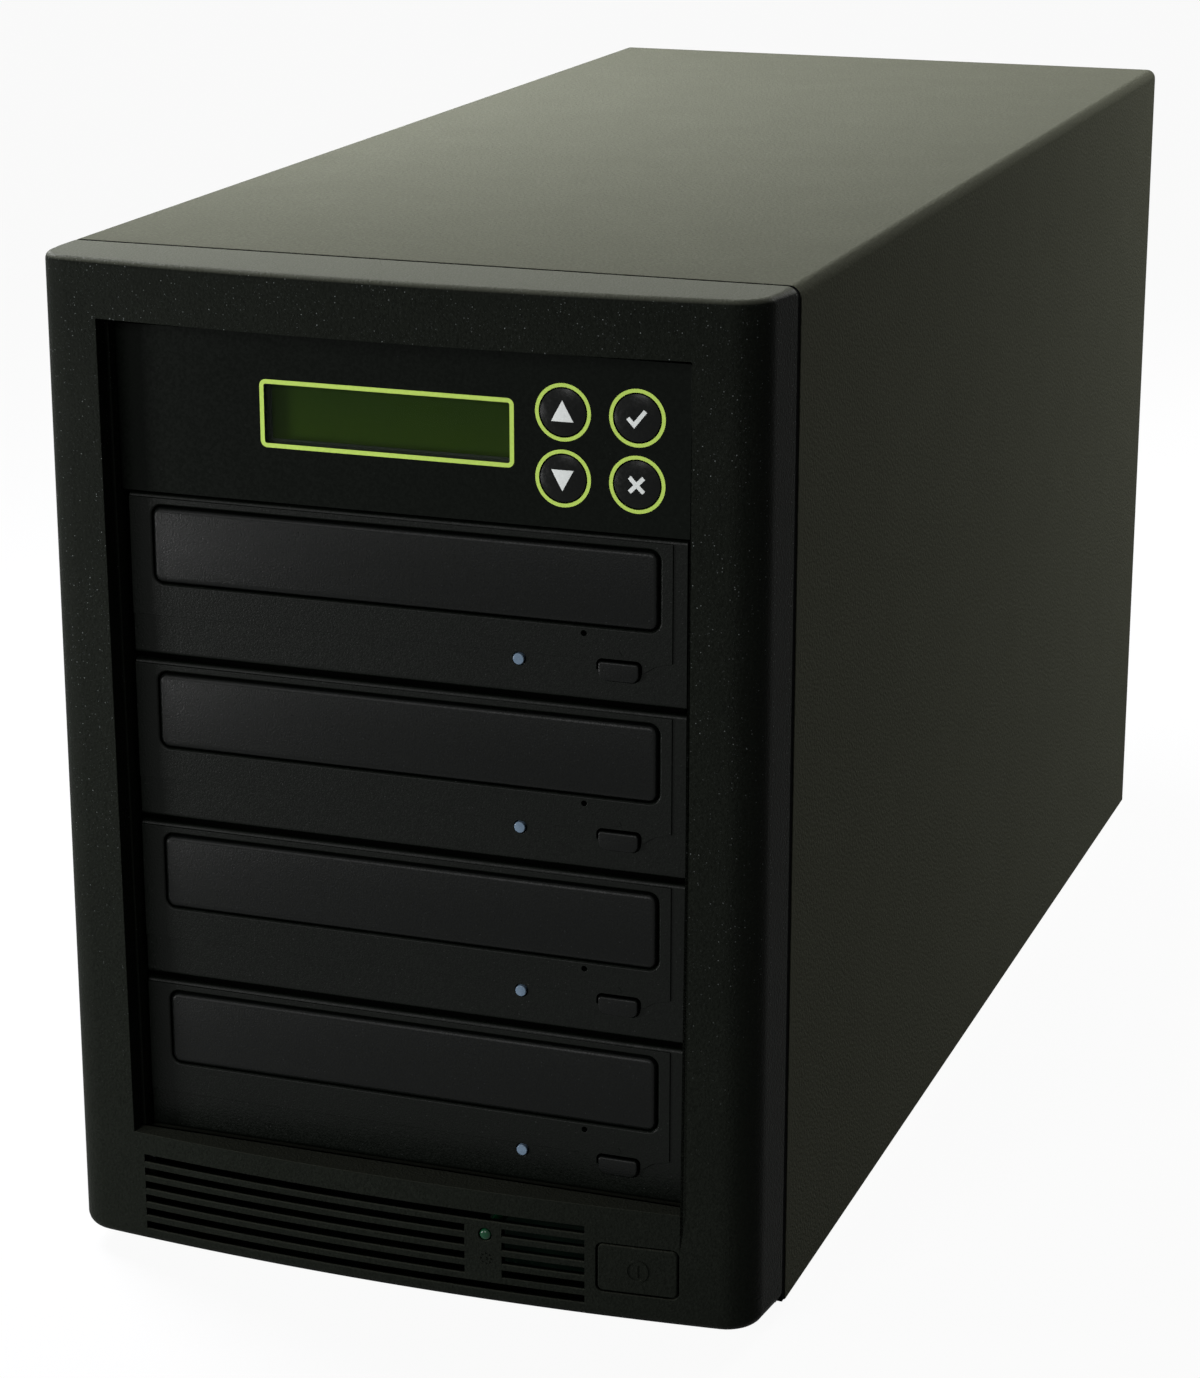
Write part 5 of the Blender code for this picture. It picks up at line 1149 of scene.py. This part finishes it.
def mark_solid():
    """The raised mark over an eject button: a small triangle over a bar, as on any such button."""
    x, z = EJECT_CENTRE[0], EJECT_CENTRE[1] + MARK_ABOVE_EJECT
    half = MARK_WIDTH / 2
    arrow = prism("arrow", [(x - half, z), (x + half, z), (x, z + MARK_HEIGHT)], "Y", -MARK_RISE, 0)
    bar_low, bar_high = (z - strokes * MARK_STROKE for strokes in MARK_BAR)
    return joined("mark", [arrow, box("bar", (x - half, -MARK_RISE, bar_low), (x + half, 0, bar_high))])


def build_gap_strips():
    """Strips that close the gaps between the drives a little way behind their fronts, painted near black as
    painted shade.
    """
    corners = sorted((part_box(f"drive_{bay}_fascia") for bay in BAYS), key=lambda corner: corner[0].z)
    front = FACE + GAP_STRIP_DEPTH
    for step, ((low, high), above) in enumerate(zip(corners, corners[1:]), 1):
        start = (low.x + GAP_STRIP_INSET, front, high.z - GAP_STRIP_LAP)
        end = (high.x - GAP_STRIP_INSET, front + GAP_STRIP_WALL, above[0].z + GAP_STRIP_LAP)
        place(smooth(box(f"gap_strip_{step}", start, end)), "tower", "bezel_painted_shade", slot="bezel_plastic")


def build_drives():
    solids = {
        "fascia": (fascia_solid(), "tower", "fascia_plastic", ["drive_{}_fascia"]),
        "door": (door_solid(), "tray_{}", "door_plastic", ["drive_{}_door"]),
        "eject_cap": (capped(EJECT_OUTLINE, EJECT_PROUD, EJECT_EDGE), "eject_{}", "door_plastic",
                      ["drive_{}_eject_button"]),
        "light_lens": (capped(LIGHT_OUTLINE, LIGHT_PROUD, LIGHT_EDGE), "tower", "drive_light",
                       ["drive_{}_light"]),
        "eject_mark": (mark_solid(), "tower", "fascia_plastic", []),
    }
    for bay in BAYS:
        offset = Vector((0, FACE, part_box(f"drive_{bay}_fascia")[0].z))
        for name, (first, body, finish, nodes) in solids.items():
            made = moved_copy(first, f"bay_{bay}_{name}", offset)
            place(made, body.format(bay), finish, *(node.format(bay) for node in nodes))
    for first, *_ in solids.values():
        bpy.data.objects.remove(first, do_unlink=True)
    build_trays()


def build_trays():
    low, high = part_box("drive_1_tray")
    centre = low.y + TRAY_RIM + DISC_WELL_RADIUS
    top = high.z
    plan = rounded_outline((0, (low.y + high.y) / 2), (high.x - low.x, high.y - low.y), TRAY_CORNER)
    steps = [(low.z, TRAY_EDGE), (low.z + TRAY_EDGE, 0), (top - TRAY_EDGE, 0), (top, TRAY_EDGE)]
    tray = stepped("tray", plan, "Z", steps)
    floor, half_chamfer = top - DISC_WELL_DEPTH, TRAY_CHAMFER / 2
    wells = (
        (DISC_WELL_RADIUS, [(floor, 0), (top - TRAY_CHAMFER, 0), (top + OVERRUN, -TRAY_CHAMFER - OVERRUN)]),
        (SMALL_WELL_RADIUS,
         [(floor - SMALL_WELL_DEPTH, 0), (floor, -half_chamfer), (floor + OVERRUN, -half_chamfer)]),
    )
    for radius, steps in wells:
        cut(tray, stepped("well", round_outline(0, centre, radius, 2 * ROUND_STEPS), "Z", steps))
    slot_front = centre - TRAY_SLOT_WIDTH / 2
    slot_back = centre + DISC_WELL_RADIUS - TRAY_SLOT_INSET
    slot_size = (TRAY_SLOT_WIDTH, slot_back - slot_front)
    slot = rounded((0, (slot_front + slot_back) / 2), slot_size, TRAY_SLOT_CORNER)
    pierce(tray, [slot], low.z - OVERRUN, top + OVERRUN, "Z")
    dishes = [circle(side * (DISC_WELL_RADIUS - FINGER_INSET), centre - FINGER_FORWARD, FINGER_RADIUS)
              for side in (-1, 1)]
    pierce(tray, dishes, floor, top + OVERRUN, "Z")
    rounded_solid(tray, SHARP_EDGE, 2)
    for bay in BAYS:
        offset = Vector((0, 0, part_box(f"drive_{bay}_tray")[0].z - low.z))
        place(moved_copy(tray, f"bay_{bay}_tray", offset), f"tray_{bay}", "tray_plastic", f"drive_{bay}_tray")
    bpy.data.objects.remove(tray, do_unlink=True)


# Control panel

def window_outline(margin):
    return rounded(WINDOW_CENTRE, grown(WINDOW_SIZE, margin), WINDOW_CORNER + margin)


def key_centre(key):
    low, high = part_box(f"button_{key}")
    return (low.x + high.x) / 2, (low.z + high.z) / 2


def build_panel():
    left, top = PANEL_LOW.x - PANEL_LEFT_REACH, PANEL_HIGH.z - PANEL_TOP_DROP
    size = (PANEL_HIGH.x - left, top - PANEL_LOW.z)
    plate = rounded(((PANEL_HIGH.x + left) / 2, (PANEL_LOW.z + top) / 2), size, PANEL_CORNER)
    panel = prism("panel_plate", plate, "Y", FACE, FACE + PANEL_WALL)
    outlines = [window_outline(GAP)] + [circle(*key_centre(key), KEY_RADIUS + GAP) for key in KEYS]
    pierce(panel, outlines, FACE - OVERRUN, FACE + PANEL_WALL + OVERRUN)
    place(rounded_solid(panel, SHARP_EDGE, 2), "tower", "panel_film", "control_panel")

    pane = prism("pane", window_outline(0), "Y", FACE, FACE + WINDOW_WALL)
    place(smooth(pane), "tower", "window_glass", "lcd_window")
    front = FACE + PANEL_WALL + GAP + CELL_DEPTH - CELL_WALL
    cell = prism("display", window_outline(-CELL_INSET - GAP), "Y", front, front + CELL_WALL - GAP / 3)
    place(smooth(cell), "tower", "display_cell")

    outer = rounded(WINDOW_CENTRE, PRINT_FRAME_SIZE, PRINT_FRAME_CORNER)
    inner = rounded(WINDOW_CENTRE, grown(PRINT_FRAME_SIZE, -PRINT_STROKE), PRINT_FRAME_CORNER - PRINT_STROKE)
    prints = {"print_frame": (outer, inner)}
    for key in KEYS:
        radii = (RING_RADIUS, RING_RADIUS - RING_STROKE)
        prints[f"print_ring_{key}"] = [circle(*key_centre(key), radius) for radius in radii]
    for name, outlines in prints.items():
        place(smooth(band(name, *outlines, FACE - PRINT_WALL, FACE)), "tower", "print_lime")


def key_dome(name, x, z, rise=0.0):
    """A key's domed cap with its flange and stem. Its dome stands higher by rise."""
    steps = []
    for i in range(1, DOME_STEPS + 1):
        share = i / DOME_STEPS
        steps.append((FACE - KEY_DOME * (1 - share ** DOME_POWER) - rise, KEY_RADIUS * (1 - share)))
    flange = FACE + PANEL_WALL + GAP
    flange_back = flange + CAP_FLANGE_WALL
    stem = KEY_RADIUS - KEY_STEM_RADIUS
    steps += [(FACE + DOME_RIM, 0), (flange, 0), (flange, -CAP_FLANGE), (flange_back, -CAP_FLANGE),
              (flange_back, stem), (FACE + KEY_STEM_BACK, stem)]
    return stepped(name, round_outline(x, z, KEY_RADIUS), "Y", steps)


def stroke_outline(points, width):
    """Outline of an open line of constant width with square ends, as a closed polygon."""
    left, right = [], []
    points = [Vector(point) for point in points]
    for i, here in enumerate(points):
        before, after = points[max(i - 1, 0)], points[min(i + 1, len(points) - 1)]
        first = (here - before).normalized() if i else (after - here).normalized()
        second = (after - here).normalized() if i < len(points) - 1 else first
        normals = [Vector((-line.y, line.x)) for line in (first, second)]
        normal = (normals[0] + normals[1]).normalized()
        reach = width / 2 / max(normal.dot(normals[0]), MITRE_LIMIT)
        left.append(tuple(here + normal * reach))
        right.append(tuple(here - normal * reach))
    return left + right[::-1]


def glyph(key, x, z):
    """What is printed on a key, as a prism along Y: an arrow, a tick or a cross."""
    def printed(outline):
        return prism("print", outline, "Y", FACE - KEY_DOME - OVERRUN, FACE)

    def stroke(*places):
        return printed(stroke_outline([(x + across, z + up) for across, up in places], GLYPH_STROKE))

    if key in ("up", "down"):
        height = ARROW_HEIGHT if key == "up" else -ARROW_HEIGHT
        base = z - height * ARROW_BASE
        return printed([(x - ARROW_HALF, base), (x + ARROW_HALF, base), (x, base + height)])
    if key == "enter":
        return stroke(*TICK)
    reach = GLYPH_HALF * CROSS_SHARE
    return fuse(stroke((-reach, -reach), (reach, reach)), stroke((-reach, reach), (reach, -reach)))


def build_keys():
    for key in KEYS:
        x, z = key_centre(key)
        cap = smooth(key_dome(f"key_cap_{key}", x, z), CAP_CREASE_DEG)
        place(cap, f"key_{key}", "key_film", f"button_{key}")
        sign = common(glyph(key, x, z), key_dome("over", x, z, PRINT_WALL))
        cut(sign, key_dome("under", x, z))
        sign.name = f"glyph_{key}"
        place(smooth(sign), f"key_{key}", "print_white")


# Rear

def wire(name, lines, radius):
    """Round wires along closed or open lines of points, as one mesh."""
    curve = bpy.data.curves.new(name, "CURVE")
    curve.dimensions = "3D"
    curve.bevel_depth = radius
    curve.bevel_resolution = 3
    curve.use_fill_caps = True
    for points, closed in lines:
        spline = curve.splines.new("POLY")
        spline.points.add(len(points) - 1)
        for target, point in zip(spline.points, points):
            target.co = (*point, 1.0)
        spline.use_cyclic_u = closed
    made = new_object(name, curve)
    bpy.context.view_layer.update()
    mesh = bpy.data.meshes.new_from_object(made.evaluated_get(bpy.context.evaluated_depsgraph_get()))
    bpy.data.objects.remove(made, do_unlink=True)
    result = new_object(name, mesh)
    result.data.shade_smooth()
    return result


def polar(radius, angle, side=0.0):
    """A place round the fan's centre, and as far to the side of its ray as given."""
    x = radius * math.cos(angle) - side * math.sin(angle)
    return x, FAN_CENTRE + radius * math.sin(angle) + side * math.cos(angle)


def build_guard():
    low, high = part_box("fan_guard")
    ring_y = high.y - GUARD_WIRE_RADIUS
    spoke_y = low.y + GUARD_WIRE_RADIUS
    hook = FAN_HOLE_SPREAD / math.sqrt(2)
    ends = (GUARD_RINGS[-1] - GUARD_OVERLAP, GUARD_RINGS[0] + GUARD_OVERLAP, hook - FAN_SCREW_RADIUS)
    lines = [(circle(0, FAN_CENTRE, radius, FAN_STEPS), ring_y, True) for radius in GUARD_RINGS]
    for turn in range(4):
        angle = math.radians(45 + 90 * turn)
        for side in (-SPOKE_HALF, SPOKE_HALF):
            lines.append(([polar(radius, angle, side) for radius in ends], spoke_y, False))
        eye = circle(*polar(hook, angle), FAN_HOLE_RADIUS + HOOK_MARGIN, HOOK_STEPS)
        lines.append((eye, spoke_y, True))
    lines = [([(x, y, z) for x, z in points], closed) for points, y, closed in lines]
    place(wire("guard", lines, GUARD_WIRE_RADIUS), "tower", "screw_steel", "fan_guard")


def build_fan_housing():
    low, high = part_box("fan_frame")
    front, back = low.y, high.y
    start, end = front - OVERRUN, back + OVERRUN
    square, middle = (FAN_SIZE, FAN_SIZE), (0, FAN_CENTRE)
    housing = prism("fan_housing", rounded(middle, square, FAN_CORNER), "Y", front, back)
    pierce(housing, [circle(*middle, FAN_BORE_RADIUS, FAN_STEPS)], start, end)
    outer = rounded(middle, grown(square, OVERRUN), FAN_CORNER)
    inner = circle_as(outer, FAN_BORE_RADIUS + FAN_BARREL_WALL)
    cut(housing, band("waist", outer, inner, front + FAN_RIM, back - FAN_RIM))
    pierce(housing, holes(fan_places(), FAN_HOLE_RADIUS), start, end)
    strut_front = back - FAN_MOTOR_DEPTH
    motor = prism("motor", circle(*middle, FAN_MOTOR_RADIUS), "Y", strut_front, back - GAP)
    reach, half = FAN_BORE_RADIUS + STRUT_OVERLAP, FAN_STRUT_WIDTH / 2
    corners = ((-reach, -half), (reach, -half), (reach, half), (-reach, half))
    for turn_deg in (45, 135):
        strut = [polar(far, math.radians(turn_deg), side) for far, side in corners]
        fuse(motor, prism("strut", strut, "Y", strut_front + GAP, back - 2 * GAP))
    fuse(housing, motor)
    place(rounded_solid(housing, SHARP_EDGE, 2), "tower", "fan_plastic", "fan_frame")


def circle_as(outline, radius):
    """Points of a circle round the fan's centre, one for each point of an outline, in its direction."""
    points = []
    for x, z in outline:
        away = Vector((x, z - FAN_CENTRE)).normalized() * radius
        points.append((away.x, FAN_CENTRE + away.y))
    return points


def blade(turn, depth):
    """One twisted fan blade, from inside the hub to the tip, as rings along its radius."""
    rings = []
    inner = ROTOR_HUB_RADIUS - BLADE_WALL
    reach = depth / 2 - GAP
    for step in range(BLADE_STEPS + 1):
        share = step / BLADE_STEPS
        radius = inner + (ROTOR_RADIUS - inner) * share
        pitch = math.radians(BLADE_PITCH_DEG) * (1 + share) / 2
        sweep = turn + math.radians(BLADE_PITCH_DEG) * share / 2
        ring = []
        for end, face in BLADE_PROFILE:
            side = end * reach * math.sin(pitch) + face * BLADE_WALL
            angle = sweep + side / radius
            axial = end * reach * math.cos(pitch) * BLADE_CHORD_SHARE
            ring.append((radius * math.cos(angle), axial, radius * math.sin(angle)))
        rings.append(ring)
    return loft("blade", rings)


def build_fan_rotor():
    low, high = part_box("fan_rotor")
    half = (high.y - low.y) / 2
    steps = edge_steps(-half, BLADE_WALL, half)
    rotor = stepped("fan_wheel", round_outline(0, 0, ROTOR_HUB_RADIUS), "Y", steps)
    for number in range(BLADE_COUNT):
        fuse(rotor, blade(2 * math.pi * number / BLADE_COUNT, high.y - low.y))
    rotor.data.transform(Matrix.Translation(Vector((0, (low.y + high.y) / 2, FAN_CENTRE))))
    place(smooth(rotor, CAP_CREASE_DEG), "rotor", "fan_plastic", "fan_rotor")


# Carried-over solids

def dress_nodes():
    """Finishes and rounded edges for the CAD solids that stay."""
    kept = {
        ("zinc_steel", SHARP_EDGE): ["chassis_base", "drive_cage", "panel_bracket", "power_supply"]
        + [f"drive_{bay}_shell" for bay in BAYS],
        ("loader_plastic", SHARP_EDGE): [f"drive_{bay}_loader" for bay in BAYS],
        ("display_frame", SHARP_EDGE): ["lcd_module"],
        ("circuit_board", SHARP_EDGE): ["controller_board", "switch_board"],
        ("inlet_plastic", SOFT_EDGE): ["mains_inlet", "rocker_housing", "supply_rocker"],
    }
    for (finish, width), names in kept.items():
        for name in names:
            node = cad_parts[name]
            node.data.materials.clear()
            node.data.materials.append(FINISHES[finish])
            weld = node.modifiers.new("weld", "WELD")
            weld.merge_threshold = WELD
            soften(node, width, 2)


# Stage

def seen_rays(tree):
    """1 for rays from the camera, a gloss or a see-through surface, and 0 for the rest."""
    path = new_node(tree, "LightPath", {}).outputs
    seen = maths(tree, "MAXIMUM", path["Is Camera Ray"], path["Is Glossy Ray"])
    return maths(tree, "MAXIMUM", seen, path["Is Transmission Ray"])


def turned(name, data, direction):
    """A lamp that shines against the given direction."""
    lamp = new_object(name, data)
    lamp.rotation_mode = "QUATERNION"
    lamp.rotation_quaternion = Vector(direction).to_track_quat("Z", "Y")
    return lamp


def build_floor():
    body = bmesh.new()
    body.faces.new([body.verts.new((x, y, 0)) for x, y in circle(0, 0, FLOOR_RADIUS, FLOOR_STEPS)])
    floor = solid_of("floor", body)
    made, tree, shader = bare_finish("floor")
    seen = seen_rays(tree)
    fill(tree, shader, {
        "Base Color": mixed(tree, seen, (FLOOR_GREY,) * 3, (FLOOR_WHITE * (1 - FLOOR_GLOW),) * 3),
        "Roughness": 1.0,
        "Specular IOR Level": 0.0,
        "Emission Color": WHITE,
        "Emission Strength": ranged(tree, seen, 0.0, 1.0, 0.0, FLOOR_GLOW),
    })
    floor.data.materials.append(made)


def build_stage():
    """The floor, a backdrop that is white where it is seen and dim as a light, and the lamps."""
    build_floor()
    world = bpy.data.worlds.new("studio")
    bpy.context.scene.world = world
    world.use_nodes = True
    tree = world.node_tree
    tree.nodes.clear()
    dim, white = (new_node(tree, "Background", {"Color": WHITE, "Strength": strength}).outputs["Background"]
                  for strength in (FILL, 1.0))
    blend = new_node(tree, "MixShader", {"Fac": seen_rays(tree), 1: dim, 2: white})
    new_node(tree, "OutputWorld", {"Surface": blend.outputs["Shader"]})

    key = bpy.data.lights.new("key", "SUN")
    key.energy = KEY_STRENGTH
    key.angle = math.radians(KEY_SPREAD_DEG)
    turned("key", key, KEY_FROM)
    build_softbox("low_softbox", **LOW_SOFTBOX)
    build_softbox("left_softbox", **LEFT_SOFTBOX)
    build_softbox("right_softbox", **RIGHT_SOFTBOX)


def build_softbox(name, power, size, place, aim, tint=WHITE):
    lamp = bpy.data.lights.new(name, "AREA")
    lamp.energy, lamp.color = power, tint
    lamp.size = size
    made = turned(name, lamp, Vector(place) - Vector(aim))
    made.location = place


def build_camera():
    lens = bpy.data.cameras.new("camera")
    lens.lens = CAMERA_LENS
    lens.sensor_width = CAMERA_SENSOR
    lens.clip_start, lens.clip_end = CAMERA_CLIP
    camera = new_object("camera", lens)
    camera.location = CAMERA_PLACE
    camera.rotation_euler = (math.radians(90 - CAMERA_ELEVATION), 0, math.radians(CAMERA_AZIMUTH))
    bpy.context.scene.camera = camera
    bpy.context.scene.view_settings.view_transform = "Standard"


for build in (
    build_camera, build_stage, build_sleeve, build_rear_plate, build_screws, build_feet, build_bezel,
    build_power_button, build_power_light, build_panel, build_keys, build_drives, build_gap_strips,
    build_fan_housing, build_fan_rotor, build_guard, dress_nodes,
):
    build()
